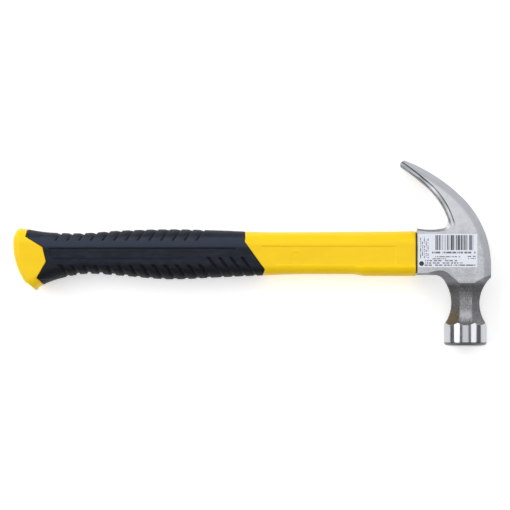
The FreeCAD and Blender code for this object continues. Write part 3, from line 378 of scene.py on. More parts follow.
@dataclass(frozen=True)
class ForgedSteel:
    """Three finishes on one forging: tumbled cheeks, a ground neck and a polished poll."""

    cheek: Colour = (0.76, 0.77, 0.81)
    cheek_dark: Colour = (0.33, 0.34, 0.37)
    claw: Colour = (0.86, 0.87, 0.91)
    neck: Colour = (0.36, 0.36, 0.37)
    neck_dark_and_shade: Colour = (0.12, 0.12, 0.12)
    brown_tint: Colour = (0.20, 0.16, 0.12)
    polish: Colour = (0.50, 0.51, 0.54)
    rim_shade: Colour = (0.17, 0.17, 0.18)
    # Colour of the painted shade along the claws' inner bevel.
    claw_edge_shade_colour: Colour = (0.05, 0.05, 0.055)
    poll_radius: float = 14.95
    polish_from: float = -46.0
    face_from: float = -63.5
    rim_from: float = -61.2
    neck_from: float = -20.5
    inner: tuple[Sweep, Sweep] = (Sweep(-62.2, 6.2, 53.4), Sweep(-157.7, -103.7, 199.0))
    outer: tuple[Sweep, Sweep] = (Sweep(-49.4, -8.8, 66.8), Sweep(-84.6, -45.4, 117.6))
    inner_join: float = 46.5
    outer_join: float = 39.3
    bevel: float = 2.75
    border: float = 5.4

    @staticmethod
    def away(recipe: Recipe, sweep: Sweep) -> Socket:
        """How far outside an arc a place is, seen from the side.

        Args:
            recipe: the material being made.
            sweep: the arc.

        Returns:
            The distance's socket, in millimetres.
        """
        x, y, _ = recipe.axes()
        across, up = recipe.math(Step.SUBTRACT, x, sweep.x), recipe.math(Step.SUBTRACT, y, sweep.y)
        squares = recipe.math(Step.ADD, recipe.product(across, across), recipe.product(up, up))
        return recipe.math(Step.SUBTRACT, recipe.math(Step.POWER, squares, 0.5), sweep.radius)

    def along(self, recipe: Recipe, pair: tuple[Sweep, Sweep], join: float) -> Socket:
        """Distance outside an edge made of two arcs.

        Args:
            recipe: the material being made.
            pair: the lower arc and the upper one.
            join: the height where they meet.

        Returns:
            The distance's socket, in millimetres.
        """
        upper = recipe.math(Step.GREATER, recipe.axes()[1], join)
        low = recipe.product(self.away(recipe, pair[0]), recipe.math(Step.SUBTRACT, 1.0, upper))
        return recipe.math(Step.ADD, low, recipe.product(self.away(recipe, pair[1]), upper))

    def claw_edge_shade(self, recipe: Recipe) -> Socket:
        """Painted shade: dark lines along both sides of the bevel on the claws' inner edge, at the edge and
        in the crease.

        Args:
            recipe: the material being made.

        Returns:
            A socket that is 1 where the painted shade is strongest.
        """
        _, y, _ = recipe.axes()
        depth = self.along(recipe, self.inner, self.inner_join)
        edge = recipe.between(depth, -0.6, 0.8, 0.25)
        crease = recipe.between(depth, self.bevel - 0.35, self.bevel + 0.4, 0.28)
        both = recipe.math(Step.MAXIMUM, recipe.product(edge, 0.75), crease)
        patchy = recipe.span(recipe.noise((0.5, 0.5, 0.5), 4.0), 0.3, 0.6, 0.7, 1.0)
        return recipe.product(both, patchy, recipe.span(y, 18.0, 23.0))

    def border_shade(self, recipe: Recipe) -> Socket:
        """The darker band inside the outer edge of the claws and the top of the head.

        Args:
            recipe: the material being made.

        Returns:
            A socket that is 1 inside the band.
        """
        x, y, _ = recipe.axes()
        curve = self.along(recipe, self.outer, self.outer_join)
        band = recipe.span(curve, -self.border - 0.6, -self.border + 1.6)
        band = recipe.product(band, recipe.span(y, -9.5, -7.5))
        straight = recipe.product(recipe.span(x, 11.6, 13.6), recipe.span(y, -7.5, -9.5))
        return recipe.math(Step.MAXIMUM, band, straight)

    def make(self, centre: Vector) -> bpy.types.Material:
        """Build the material.

        Args:
            centre: the crossing of the poll's and the handle's axes.

        Returns:
            The finished material.
        """
        recipe = Recipe("forged_steel", centre).fixed(metallic=1.0)
        x, y, z = recipe.axes()
        squares = recipe.math(Step.ADD, recipe.product(x, x), recipe.product(z, z))
        radius = recipe.math(Step.POWER, squares, 0.5)
        turned = recipe.span(radius, self.poll_radius - 0.16, self.poll_radius - 0.06)
        turned = recipe.product(turned, recipe.span(y, self.polish_from, self.polish_from - 1.0))
        face = recipe.span(y, self.face_from, self.face_from - 0.3)
        rim_shade = recipe.between(y, self.face_from, self.rim_from, 0.15)
        polished = recipe.math(Step.MAXIMUM, turned, face)
        plain = recipe.math(Step.SUBTRACT, 1.0, polished)

        grain = recipe.noise((1.5, 2.2, 2.2), 6.0, 0.75)
        fine = recipe.noise((4.5, 4.5, 4.5), 3.0, 0.6)
        cloud = recipe.noise((0.11, 0.11, 0.11), 5.0, 0.65)
        pits = recipe.cells((1.1, 1.1, 1.1))
        wobble = recipe.math(Step.MULTIPLY, recipe.math(Step.SUBTRACT, cloud, 0.5), 7.0)
        ground = recipe.span(recipe.math(Step.ADD, y, wobble), self.neck_from + 2.6, self.neck_from - 2.6)
        tumbled = recipe.math(Step.SUBTRACT, 1.0, ground)
        strokes = recipe.noise((1.7, 0.16, 1.7), 6.0, 0.75)
        scale = recipe.noise((1.3, 0.8, 1.3), 7.0, 0.8)

        cheek = recipe.mix(recipe.span(grain, 0.28, 0.66), self.cheek_dark, self.cheek)
        cheek = recipe.mix(recipe.span(cloud, 0.38, 0.66, 0.0, 0.42), cheek, self.cheek_dark)
        cheek = recipe.mix(recipe.span(y, 4.0, 30.0, 0.0, 0.55), cheek, self.claw)
        cheek = recipe.mix(recipe.product(self.border_shade(recipe), 0.55), cheek, self.cheek_dark)
        # Painted shade along the edge and the crease of the claws' inner bevel.
        cheek = recipe.mix(self.claw_edge_shade(recipe), cheek, self.claw_edge_shade_colour)
        neck = recipe.mix(recipe.span(scale, 0.36, 0.66), self.neck_dark_and_shade, self.neck)
        neck = recipe.mix(recipe.span(strokes, 0.50, 0.70, 0.0, 0.55), neck, self.cheek)
        # Painted shade: the neck's side facets, from about 4 mm off the middle, are darkened.
        off = recipe.math(Step.ABSOLUTE, x)
        neck = recipe.mix(recipe.span(off, 3.9, 5.0, 0.0, 0.6), neck, self.neck_dark_and_shade)
        # Painted highlight: a bright ragged patch low on the neck's middle facet, where the lamps reflect.
        ragged = recipe.math(Step.ADD, y, recipe.span(strokes, 0.3, 0.7, -3.0, 3.0))
        rubbed_and_lit = recipe.product(recipe.between(ragged, -45.5, -40.0, 1.6), recipe.span(off, 5.0, 2.6))
        neck = recipe.mix(recipe.product(rubbed_and_lit, 0.7), neck, self.polish)
        # Browner low on the neck's left facet, in patches.
        low_left = recipe.product(
            recipe.between(y, -50.5, -41.5, 1.8), recipe.span(x, -4.6, -7.5), recipe.span(cloud, 0.3, 0.55)
        )
        neck = recipe.mix(recipe.product(low_left, recipe.span(scale, 0.3, 0.7, 0.1, 0.36)), neck, self.brown_tint)
        colour = recipe.mix(ground, cheek, neck)
        colour = recipe.mix(polished, colour, self.polish)
        # Painted shade: the chamfer round the poll's face is darkened.
        colour = recipe.mix(recipe.product(rim_shade, 0.85), colour, self.rim_shade)

        rough = recipe.product(recipe.span(grain, 0.25, 0.75, 0.36, 0.48), tumbled)
        rough = recipe.math(Step.ADD, rough, recipe.product(recipe.span(scale, 0.3, 0.7, 0.30, 0.42), ground))
        hairs = recipe.noise((0.25, 9.0, 0.25), 3.0, 0.6)
        rough_poll = recipe.product(recipe.span(hairs, 0.3, 0.7, 0.13, 0.20), polished)
        rough = recipe.math(Step.ADD, recipe.product(rough, plain), rough_poll)
        relief = recipe.math(Step.ADD, recipe.product(grain, 0.45), recipe.product(fine, 0.25))
        relief = recipe.math(Step.ADD, relief, recipe.product(recipe.span(pits, 0.05, 0.35), 0.2))
        relief_neck = recipe.math(Step.ADD, recipe.product(scale, 0.9), recipe.product(strokes, 1.0))
        relief = recipe.math(Step.ADD, recipe.product(relief, tumbled), recipe.product(relief_neck, ground))
        relief = recipe.product(relief, recipe.span(polished, 0.0, 1.0, 1.0, 0.02))
        return recipe.finish(colour, rough, relief, 0.075)


@dataclass(frozen=True)
class MouldedYellow:
    """Bright injection-moulded plastic with a faint flow pattern and worn high spots."""

    base: Colour = srgb(255, 212, 4)
    deep: Colour = srgb(246, 198, 3)

    def make(self, centre: Vector) -> bpy.types.Material:
        """Build the material.

        Args:
            centre: the point that the piece is measured from.

        Returns:
            The finished material.
        """
        recipe = Recipe("moulded_yellow", centre).fixed(specular_ior_level=0.32)
        flow = recipe.noise((0.05, 0.14, 0.14), 3.0)
        skin = recipe.noise((3.2, 3.2, 3.2), 3.0, 0.6)
        scuffs = recipe.noise((0.5, 5.0, 5.0), 5.0, 0.7)
        colour = recipe.mix(recipe.span(flow, 0.3, 0.7, 0.0, 0.35), self.base, self.deep)
        worn = recipe.span(scuffs, 0.62, 0.8, 0.0, 0.12)
        rough = recipe.math(Step.ADD, recipe.span(skin, 0.2, 0.8, 0.34, 0.42), worn)
        relief = recipe.math(Step.ADD, recipe.product(skin, 0.5), recipe.product(scuffs, 0.15))
        return recipe.finish(colour, rough, relief, 0.03)


@dataclass(frozen=True)
class SoftRubber:
    """Dark thermoplastic rubber: matt, faintly pebbled, with paler worn streaks, painted light on the upper
    slopes and painted shade low down and in the grooves.
    """

    base: Colour = srgb(15, 20, 32)
    rubbed_and_lit: Colour = srgb(48, 55, 72)
    painted_shade: Colour = srgb(3, 4, 7)

    def make(self, centre: Vector) -> bpy.types.Material:
        """Build the material.

        Args:
            centre: the point that the piece is measured from.

        Returns:
            The finished material.
        """
        recipe = Recipe("soft_rubber", centre).fixed(specular_ior_level=0.25)
        cloud = recipe.noise((0.12, 0.3, 0.3), 4.0, 0.6)
        pebble = recipe.cells((2.6, 2.6, 2.6))
        fine = recipe.noise((6.0, 6.0, 6.0), 3.0, 0.6)
        streaks = recipe.noise((0.25, 2.5, 2.5), 4.0, 0.7)
        colour = recipe.mix(recipe.span(cloud, 0.35, 0.8, 0.0, 0.35), self.base, self.rubbed_and_lit)
        colour = recipe.mix(recipe.span(streaks, 0.62, 0.8, 0.0, 0.25), colour, self.rubbed_and_lit)
        _, y, _ = recipe.axes()
        # Painted light: the upper slopes are paler, in patches.
        upper_slope_light = recipe.product(recipe.between(y, 4.4, 11.5, 1.4), recipe.span(fine, 0.3, 0.7, 0.65, 1.0))
        colour = recipe.mix(upper_slope_light, colour, self.rubbed_and_lit)
        # Painted shade: darker towards the lower side.
        colour = recipe.mix(recipe.span(y, -6.5, -11.5, 0.0, 0.6), colour, self.painted_shade)
        # Painted shade: the grooves and the side panel's recess and outline are darkened by their stored
        # depth.
        colour = recipe.mix(recipe.span(recipe.stored(RELIEF_NAME), 0.42, 1.0), colour, self.painted_shade)
        rough = recipe.span(fine, 0.25, 0.75, 0.50, 0.62)
        pebbled = recipe.product(recipe.span(pebble, 0.0, 0.6), 0.5)
        relief = recipe.math(Step.ADD, pebbled, recipe.product(fine, 0.4))
        return recipe.finish(colour, rough, relief, 0.06)


@dataclass(frozen=True)
class CastResin:
    """Dark bonding resin with a slightly wavy, glossy skin."""

    base: Colour = srgb(24, 24, 27)
    dusty: Colour = srgb(46, 45, 46)

    def make(self, centre: Vector) -> bpy.types.Material:
        """Build the material.

        Args:
            centre: the point that the piece is measured from.

        Returns:
            The finished material.
        """
        recipe = Recipe("cast_resin", centre)
        wave = recipe.noise((0.5, 0.5, 0.5), 3.0)
        colour = recipe.mix(recipe.span(wave, 0.4, 0.7, 0.0, 0.6), self.base, self.dusty)
        return recipe.finish(colour, recipe.span(wave, 0.3, 0.7, 0.24, 0.45), wave, 0.15)


@dataclass(frozen=True)
class SawnFibreglass:
    """The cut end of a glass-fibre rod: tan resin dotted with fibre bundles."""

    resin: Colour = srgb(196, 178, 122)
    bundle: Colour = srgb(233, 224, 190)

    def make(self, centre: Vector) -> bpy.types.Material:
        """Build the material.

        Args:
            centre: the point that the piece is measured from.

        Returns:
            The finished material.
        """
        recipe = Recipe("sawn_fibreglass", centre)
        bundles = recipe.cells((0.08, 2.2, 2.2))
        saw = recipe.noise((1.5, 6.0, 0.4), 3.0)
        colour = recipe.mix(recipe.span(bundles, 0.15, 0.5), self.bundle, self.resin)
        relief = recipe.math(Step.ADD, recipe.product(bundles, 0.4), recipe.product(saw, 0.6))
        return recipe.finish(colour, recipe.span(saw, 0.3, 0.7, 0.5, 0.7), relief, 0.12)


@dataclass(frozen=True)
class PrintedSticker:
    """A coated white sticker with generic stripes, rows of dashes and a dot."""

    paper: Colour = srgb(235, 239, 249)
    ink: Colour = srgb(28, 28, 34)
    grey: Colour = srgb(150, 152, 160)
    print_ink: Colour = srgb(48, 49, 56)
    bar_pitch: float = 1.17
    stripes: tuple[float, float, float, float] = (-21.0, 5.0, 2.4, 12.7)
    rows: tuple[tuple[float, float, float, float], ...] = (
        (-23.6, 6.6, 0.7, 0.62),
        (-23.0, -4.0, -2.2, 0.34),
        (0.8, 6.8, -2.0, 0.36),
        (-23.0, -13.6, -3.6, 0.32),
        (1.6, 6.8, -3.4, 0.36),
        (-28.6, -5.8, -4.9, 0.42),
        (-28.6, -2.4, -6.5, 0.42),
        (-28.6, 7.0, -8.0, 0.45),
    )
    columns: tuple[tuple[float, float, float], ...] = (
        (-31.3, -3.2, 11.4),
        (-30.0, -1.8, 9.6),
        (-28.7, -3.2, 11.4),
        (-27.4, -2.6, 8.8),
        (-26.1, -3.2, 11.0),
    )
    dot: tuple[float, float, float] = (-30.6, -6.9, 1.65)

    def make(self, centre: Vector) -> bpy.types.Material:
        """Build the material.

        Args:
            centre: the point that the piece is measured from.

        Returns:
            The finished material.
        """
        recipe = Recipe("printed_sticker", centre)
        x, y, _ = recipe.axes()
        left, right, low, high = self.stripes
        steps = recipe.math(Step.DIVIDE, x, self.bar_pitch)
        within = recipe.math(Step.SUBTRACT, steps, recipe.math(Step.FLOOR, steps))
        width = recipe.span(recipe.chance(x, self.bar_pitch, 11.0), 0.0, 1.0, 0.22, 0.86)
        bars = recipe.math(Step.LESS, within, width)
        ink = recipe.product(bars, recipe.between(x, left, right), recipe.between(y, low, high))
        dashes = None
        for index, (start, end, level, half) in enumerate(self.rows):
            picked = recipe.chance(x, 0.52 + 0.04 * (index % 3), 31.0 + 7 * index)
            across = recipe.between(x, start, end)
            band = recipe.product(across, recipe.between(y, level - half, level + half))
            row = recipe.product(recipe.span(picked, 0.24, 0.28), band)
            dashes = row if dashes is None else recipe.math(Step.MAXIMUM, dashes, row)
        for index, (place, start, end) in enumerate(self.columns):
            picked = recipe.chance(y, 0.55, 90.0 + 5 * index)
            band = recipe.product(recipe.between(y, start, end), recipe.between(x, place - 0.3, place + 0.3))
            row = recipe.product(recipe.span(picked, 0.26, 0.30), band)
            dashes = recipe.math(Step.MAXIMUM, dashes, row)
        across = recipe.math(Step.SUBTRACT, x, self.dot[0])
        up = recipe.math(Step.SUBTRACT, y, self.dot[1])
        reach = recipe.math(
            Step.POWER, recipe.math(Step.ADD, recipe.product(across, across), recipe.product(up, up)), 0.5
        )
        spot = recipe.span(reach, self.dot[2] - 0.08, self.dot[2] + 0.08, 1.0, 0.0)
        ink = recipe.math(Step.MAXIMUM, ink, spot)
        fibre = recipe.noise((1.8, 1.8, 1.8), 4.0)
        colour = recipe.mix(recipe.span(fibre, 0.3, 0.7, 0.0, 0.10), self.paper, self.grey)
        colour = recipe.mix(recipe.product(dashes, 0.85), colour, self.print_ink)
        colour = recipe.mix(recipe.product(ink, 0.98), colour, self.ink)
        return recipe.finish(colour, recipe.span(fibre, 0.3, 0.7, 0.42, 0.52), fibre, 0.012)


@dataclass(frozen=True)
class PaleFloor:
    """The plain, faintly lit table the hammer lies on."""

    base: Colour = (0.95, 0.95, 0.95)
    clouded: Colour = (0.9, 0.9, 0.9)
    glow: Colour = (1.0, 1.0, 1.0)
    lit_through: float = 0.40

    def make(self) -> bpy.types.Material:
        """Build the floor's material.

        Returns:
            The finished material.
        """
        recipe = Recipe("pale_floor").fixed(emission_strength=self.lit_through)
        recipe.join(recipe.shader.inputs["Emission Color"], self.glow)
        soft = recipe.noise((0.01, 0.01, 0.01), 2.0)
        colour = recipe.mix(recipe.span(soft, 0.3, 0.7, 0.0, 0.04), self.base, self.clouded)
        return recipe.finish(colour, 0.9)


# ------------------------------------------------------------------ the handle's form


@dataclass(frozen=True)
class Station:
    """One section across the handle: how far it is from the poll's axis, and its outline."""

    reach: float
    top: float
    bottom: float
    half: float
    round_top: float
    round_bottom: float


@dataclass
class HandleForm:
    """The smooth outer shape of the handle and the lines where rubber meets plastic."""

    stations: tuple[Station, ...] = (
        Station(318.0, 19.4, 35.0, 14.6, 11.0, 11.0),
        Station(303.5, 17.0, 28.8, 14.5, 11.0, 11.0),
        Station(290.8, 14.9, 21.2, 13.6, 10.6, 10.6),
        Station(278.0, 14.2, 16.7, 12.3, 10.0, 10.0),
        Station(262.0, 14.2, 14.1, 11.8, 9.6, 9.6),
        Station(238.9, 15.9, 15.3, 12.8, 10.4, 10.4),
        Station(204.3, 16.8, 17.9, 13.6, 11.0, 11.0),
        Station(170.0, 16.0, 16.5, 12.8, 10.2, 9.6),
        Station(140.6, 14.9, 15.2, 11.6, 9.6, 7.4),
        Station(118.0, 14.9, 14.4, 11.0, 9.5, 6.3),
        Station(79.0, 15.1, 14.3, 11.0, 9.6, 6.2),
        Station(34.4, 15.5, 14.4, 11.0, 9.8, 6.2),
    )
    butt_edge: tuple[tuple[float, float], ...] = (
        (-21.5, -292.0), (-16.9, -296.3), (-5.5, -289.8), (4.4, -292.2), (11.8, -304.0), (16.7, -302.8),
    )
    head_edge: tuple[tuple[float, float], ...] = (
        (-14.4, -139.5), (-11.0, -138.7), (8.2, -152.5), (14.7, -152.0),
    )
    butt_centre: tuple[float, float] = (-264.45, 7.04)
    butt_radius: float = 48.05
    front: float = -34.45
    grain: float = 0.25
    start: float = field(init=False)
    table: list[Section] = field(default_factory=list)

    def __post_init__(self) -> None:
        """Fit a smooth curve through the stations and store it at close steps."""
        marks = sorted(self.stations, key=lambda s: -s.reach)
        places = [-s.reach for s in marks]
        fields = [[s.top, s.bottom, s.half, s.round_top, s.round_bottom] for s in marks]
        slopes = []
        for i in range(len(marks)):
            low, high = max(i - 1, 0), min(i + 1, len(marks) - 1)
            run = places[high] - places[low]
            slopes.append([(b - a) / run for a, b in zip(fields[low], fields[high])])
        self.start = places[0]
        count = int((places[-1] - places[0]) / self.grain) + 2
        for step in range(count):
            x = min(self.start + step * self.grain, places[-1])
            i = min(max(bisect_right(places, x) - 1, 0), len(places) - 2)
            run = places[i + 1] - places[i]
            t = (x - places[i]) / run
            a, b = 2 * t**3 - 3 * t**2 + 1, t**3 - 2 * t**2 + t
            c, d = -2 * t**3 + 3 * t**2, t**3 - t**2
            rows = zip(fields[i], slopes[i], fields[i + 1], slopes[i + 1])
            self.table.append(tuple(a * p + b * run * m + c * q + d * run * n for p, m, q, n in rows))

    def section(self, x: float) -> Section:
        """The outline at a distance along the handle.

        Args:
            x: the place, negative towards the butt.

        Returns:
            Top, bottom, half width, upper and lower corner radii.
        """
        spot = min(max((x - self.start) / self.grain, 0.0), len(self.table) - 1.001)
        index = int(spot)
        part = spot - index
        return tuple(lerp(a, b, part) for a, b in zip(self.table[index], self.table[index + 1]))

    @staticmethod
    def edge(line: Sequence[tuple[float, float]], y: float) -> float:
        """Where a joint line lies along the handle.

        Args:
            line: the line's corners as (height, place along the handle).
            y: the height.

        Returns:
            The place along the handle.
        """
        if y <= line[0][0]:
            return line[0][1]
        for (low, first), (high, second) in zip(line, line[1:]):
            if y <= high:
                return lerp(first, second, (y - low) / (high - low))
        return line[-1][1]

    def butt_end(self, y: float) -> float:
        """Where the butt's rounded end lies at a height."""
        drop = min(abs(y - self.butt_centre[1]), self.butt_radius * 0.99)
        return self.butt_centre[0] - math.sqrt(self.butt_radius**2 - drop**2)


class Zone(Enum):
    """The stretch of the handle that a row of points belongs to."""

    SHAFT = "from the collar to the grip"
    UNDER_GRIP = "under the grip"
    BUTT = "from the grip to the butt"


@dataclass(frozen=True)
class Row:
    """One ring of points round the handle.

    part runs 0 to 1 from the zone's head end to its butt end, push shifts the ring along X,
    sink puts it under the surface and shrink draws it in towards the middle.
    """

    zone: Zone
    part: float
    push: float = 0.0
    sink: float = 0.0
    shrink: float = 1.0


@dataclass(frozen=True)
class Girth:
    """How the points of a ring are spread round the section."""

    stops: tuple[float, ...]
    side_counts: tuple[int, ...]
    arc: int = 30
    end: int = 14
    spare: float = 0.06

    def columns(self) -> list[Column]:
        """List the ring's columns.

        Returns:
            Every column as (stretch of the outline, interval on a side, part of it).
        """
        side = [(i, k / n) for i, n in enumerate(self.side_counts) for k in range(n)]
        made: list[Column] = []
        for stretch in range(8):
            if stretch == 0:
                made += [(0, i, f) for i, f in side]
            elif stretch == 4:
                made += [(4, i, f) for i, f in side]
            else:
                count = self.end if stretch in (2, 6) else self.arc
                made += [(stretch, 0, k / count) for k in range(count)]
        return made

    def spot(self, outline: Section, column: Column) -> tuple[float, float, float, float]:
        """One point of the outline and the way it faces.

        Args:
            outline: the section.
            column: the column, from columns().

        Returns:
            y, z and the outward direction's y and z.
        """
        top, bottom, half, high_round, low_round = outline
        stretch, interval, part = column
        if stretch in (0, 4):
            low, high = -bottom + low_round, top - high_round
            marks = [low]
            for number, stop in enumerate(self.stops):
                floor = low + self.spare * (number + 1)
                marks.append(min(max(stop, floor), high - self.spare * (len(self.stops) - number)))
            marks.append(high)
            y = lerp(marks[interval], marks[interval + 1], part)
            if stretch == 0:
                return y, half, 0.0, 1.0
            place = len(marks) - 2 - interval
            y = lerp(marks[place + 1], marks[place], part)
            return y, -half, 0.0, -1.0
        if stretch == 2:
            return top, lerp(half - high_round, high_round - half, part), 1.0, 0.0
        if stretch == 6:
            return -bottom, lerp(low_round - half, half - low_round, part), -1.0, 0.0
        angle = math.radians(90 * part)
        sine, cosine = math.sin(angle), math.cos(angle)
        if stretch == 1:
            y, z = top - high_round + high_round * sine, half - high_round + high_round * cosine
            return y, z, sine, cosine
        if stretch == 3:
            y, z = top - high_round + high_round * cosine, -(half - high_round) - high_round * sine
            return y, z, cosine, -sine
        if stretch == 5:
            y, z = -bottom + low_round - low_round * sine, -(half - low_round) - low_round * cosine
            return y, z, -sine, -cosine
        y, z = -bottom + low_round - low_round * cosine, half - low_round + low_round * sine
        return y, z, -cosine, sine


Relief = Callable[[float, float, float], float]


@dataclass
class Sleeve:
    """A closed skin wrapped round the handle's form, row by row."""

    form: HandleForm
    girth: Girth
    gap: float = 0.0
    patterned_to: float = 1.5
    shaft_middle: float = 0.4
    butt_middle: float = -3.2

    def reach(self, row: Row, y: float) -> float:
        """Where a row lies along the handle.

        Args:
            row: the row.
            y: the height on the section.

        Returns:
            The place along the handle.
        """
        form = self.form
        if row.zone is Zone.SHAFT:
            return lerp(form.front, form.edge(form.head_edge, y) + self.gap, row.part)
        if row.zone is Zone.UNDER_GRIP:
            near, far = form.edge(form.head_edge, y), form.edge(form.butt_edge, y)
            return lerp(near - self.gap, far + self.gap, row.part)
        return lerp(form.edge(form.butt_edge, y) - self.gap, form.butt_end(y), row.part)

    def point(self, row: Row, column: Column, relief: Relief) -> tuple[Vector, float]:
        """One point of the skin.

        Args:
            row: the ring it is on.
            column: the column it is in.
            relief: depth of the surface pattern at a place.

        Returns:
            Its place, in millimetres, and the pattern's depth there.
        """
        y = 0.0
        x = self.reach(row, y) + row.push
        for _ in range(5 if row.zone is Zone.BUTT else 3):
            y, z, out_y, out_z = self.girth.spot(self.form.section(x), column)
            x = self.reach(row, y) + row.push
        patterned = row.sink < self.patterned_to and row.shrink == 1.0
        depth = relief(x, y, out_z) if patterned else 0.0
        y, z = y - out_y * (row.sink + depth), z - out_z * (row.sink + depth)
        if row.shrink < 1.0:
            middle = self.shaft_middle if row.zone is Zone.SHAFT else self.butt_middle
            y, z = lerp(middle, y, row.shrink), z * row.shrink
            if row.zone is Zone.BUTT:
                x = self.form.butt_end(y)
        return Vector((x, y, z)), depth

    def build(
        self, name: str, rows: Sequence[Row], relief: Relief, centre: Vector, looped: bool
    ) -> bpy.types.Object:
        """Wrap a grid round the handle and close it.

        Args:
            name: the piece's name.
            rows: rings in order along the skin.
            relief: depth of the surface pattern at a place.
            centre: where the hammer's own origin lies in the frame, in metres.
            looped: True if the last row joins the first, False if both ends are poles.

        Returns:
            The piece.
        """
        columns = self.girth.columns()
        across, around = len(rows) if looped else len(rows) - 1, len(columns)
        bm = bmesh.new()
        bmesh.ops.create_grid(bm, x_segments=across, y_segments=around, size=1.0)
        layer = bm.verts.layers.float.new(RELIEF_NAME)
        for vert in bm.verts:
            i = round((vert.co.x + 1) / 2 * across) % len(rows)
            j = round((vert.co.y + 1) / 2 * around) % around
            place, vert[layer] = self.point(rows[i], columns[j], relief)
            vert.co = place * MM + centre
        bmesh.ops.remove_doubles(bm, verts=bm.verts, dist=1e-7)
        bmesh.ops.dissolve_degenerate(bm, edges=bm.edges, dist=1e-8)
        bmesh.ops.recalc_face_normals(bm, faces=bm.faces)
        return settle(bm, name)


def settle(bm: bmesh.types.BMesh, name: str, smooth: bool = True) -> bpy.types.Object:
    """Turn a bmesh into an object in the scene and free it.

    Args:
        bm: the bmesh.
        name: the object's name.
        smooth: True to shade it smoothly.

    Returns:
        The object.
    """
    for face in bm.faces:
        face.smooth = smooth
    mesh = bpy.data.meshes.new(name)
    bm.to_mesh(mesh)
    bm.free()
    piece = bpy.data.objects.new(name, mesh)
    bpy.context.scene.collection.objects.link(piece)
    return piece


def lip(zone: Zone, part: float, radius: float, away: int, deep: float, steps: int = 5) -> list[Row]:
    """Rows that round an edge over, from a wall up onto the surface.

    Args:
        zone: the zone the edge belongs to.
        part: the end of the zone, 0 or 1.
        radius: the edge's radius.
        away: +1 or -1, the way along X that leads onto the surface.
        deep: how far down the wall starts.
        steps: number of rows on the round.

    Returns:
        The rows, wall first.
    """
    rows = [Row(zone, part, 0.0, deep), Row(zone, part, 0.0, lerp(deep, radius, 0.7))]
    for step in range(steps + 1):
        turn = math.radians(90 * step / steps)
        rows.append(Row(zone, part, away * radius * (1 - math.cos(turn)), radius * (1 - math.sin(turn))))
    return rows


# ------------------------------------------------------------------ grip


class Cut(Enum):
    """The shape of a groove across its run."""

    SAWTOOTH = "a ramp down to a sharp wall"
    CHANNEL = "a flat floor between two walls"


@dataclass(frozen=True)
class GrooveRow:
    """A row of slanted grooves that run off the edge of the grip.

    first is the place of the first groove's wall on the level it starts from, lean is how far
    it moves along the handle for each millimetre outwards, and ramp and cut are how far it
    reaches to either side of the wall.
    """

    first: float
    count: int
    pitch: float
    level: float
    up: int
    lean: float
    ramp: float
    cut: float
    depth: float
    crown_depth: float
    shape: Cut
    foot: float
    crown_from: tuple[float, float] = (6.0, 9.0)

    def across(self, line: float) -> float:
        """The groove's depth across its run.

        Args:
            line: how far a place is past the groove's wall, along the handle.

        Returns:
            The depth, between 0 and 1.
        """
        if line < -self.ramp or line > self.cut:
            return 0.0
        if self.shape is Cut.CHANNEL:
            return ease(line, -self.ramp, 0.8 - self.ramp) * (1 - ease(line, self.cut - 0.8, self.cut))
        return ease(line, -self.ramp, 0.0) if line < 0 else 1 - ease(line, 0.0, self.cut)

    def depth_at(self, x: float, y: float) -> float:
        """How deep the row's grooves are at a place on the grip.

        Args:
            x: the place along the handle.
            y: its height.

        Returns:
            The depth, in millimetres.
        """
        height = (y - self.level) * self.up
        if height < -0.3:
            return 0.0
        line = x - self.first - self.lean * max(height, 0.0)
        index = min(max(round((line + (self.ramp - self.cut) / 2) / self.pitch), 0), self.count - 1)
        depth = lerp(self.depth, self.crown_depth, ease(height, *self.crown_from))
        return depth * self.across(line - index * self.pitch) * ease(height, -0.3, self.foot)


@dataclass(frozen=True)
class SidePanel:
    """A shallow recess along the side of the grip with a scored outline."""

    left: float = -287.3
    right: float = -158.5
    low: float = -3.7
    high: float = 3.6
    slant: float = 0.22
    depth: float = 0.40
    score: float = 0.62
    score_half: float = 0.42
    fade_from: float = -206.0
    fade_to: float = -186.0

    def depth_at(self, x: float, y: float) -> float:
        """How deep the recess and its outline are at a place on the side.

        Args:
            x: the place along the handle.
            y: its height.

        Returns:
            The depth, in millimetres.
        """
        if not self.low - 0.6 < y < self.high + 0.6:
            return 0.0
        edge = self.left + (self.high - y) * self.slant
        right = self.right + (self.high - y) * 0.25
        along = ease(x, edge - 0.3, edge + 0.3) * (1 - ease(x, right - 0.5, right + 0.5))
        inside = ease(y, self.low - 0.22, self.low + 0.22) * (1 - ease(y, self.high - 0.22, self.high + 0.22))
        fading = ease(x, self.fade_from, self.fade_to)
        depth = self.depth * inside * along * (1 - fading * (1 - ease(y, self.low, self.high - 0.2)))
        line = max(1 - abs(y - self.high) / self.score_half, 0.0)
        line = max(line, 0.6 * (1 - fading) * max(1 - abs(y - self.low) / self.score_half, 0.0)) * along
        end = max(1 - abs(x - edge) / 0.6, 0.0) * ease(y, self.low, self.low + 0.4)
        return depth + self.score * max(line, 0.7 * end * (1 - ease(y, self.high, self.high + 0.3)))


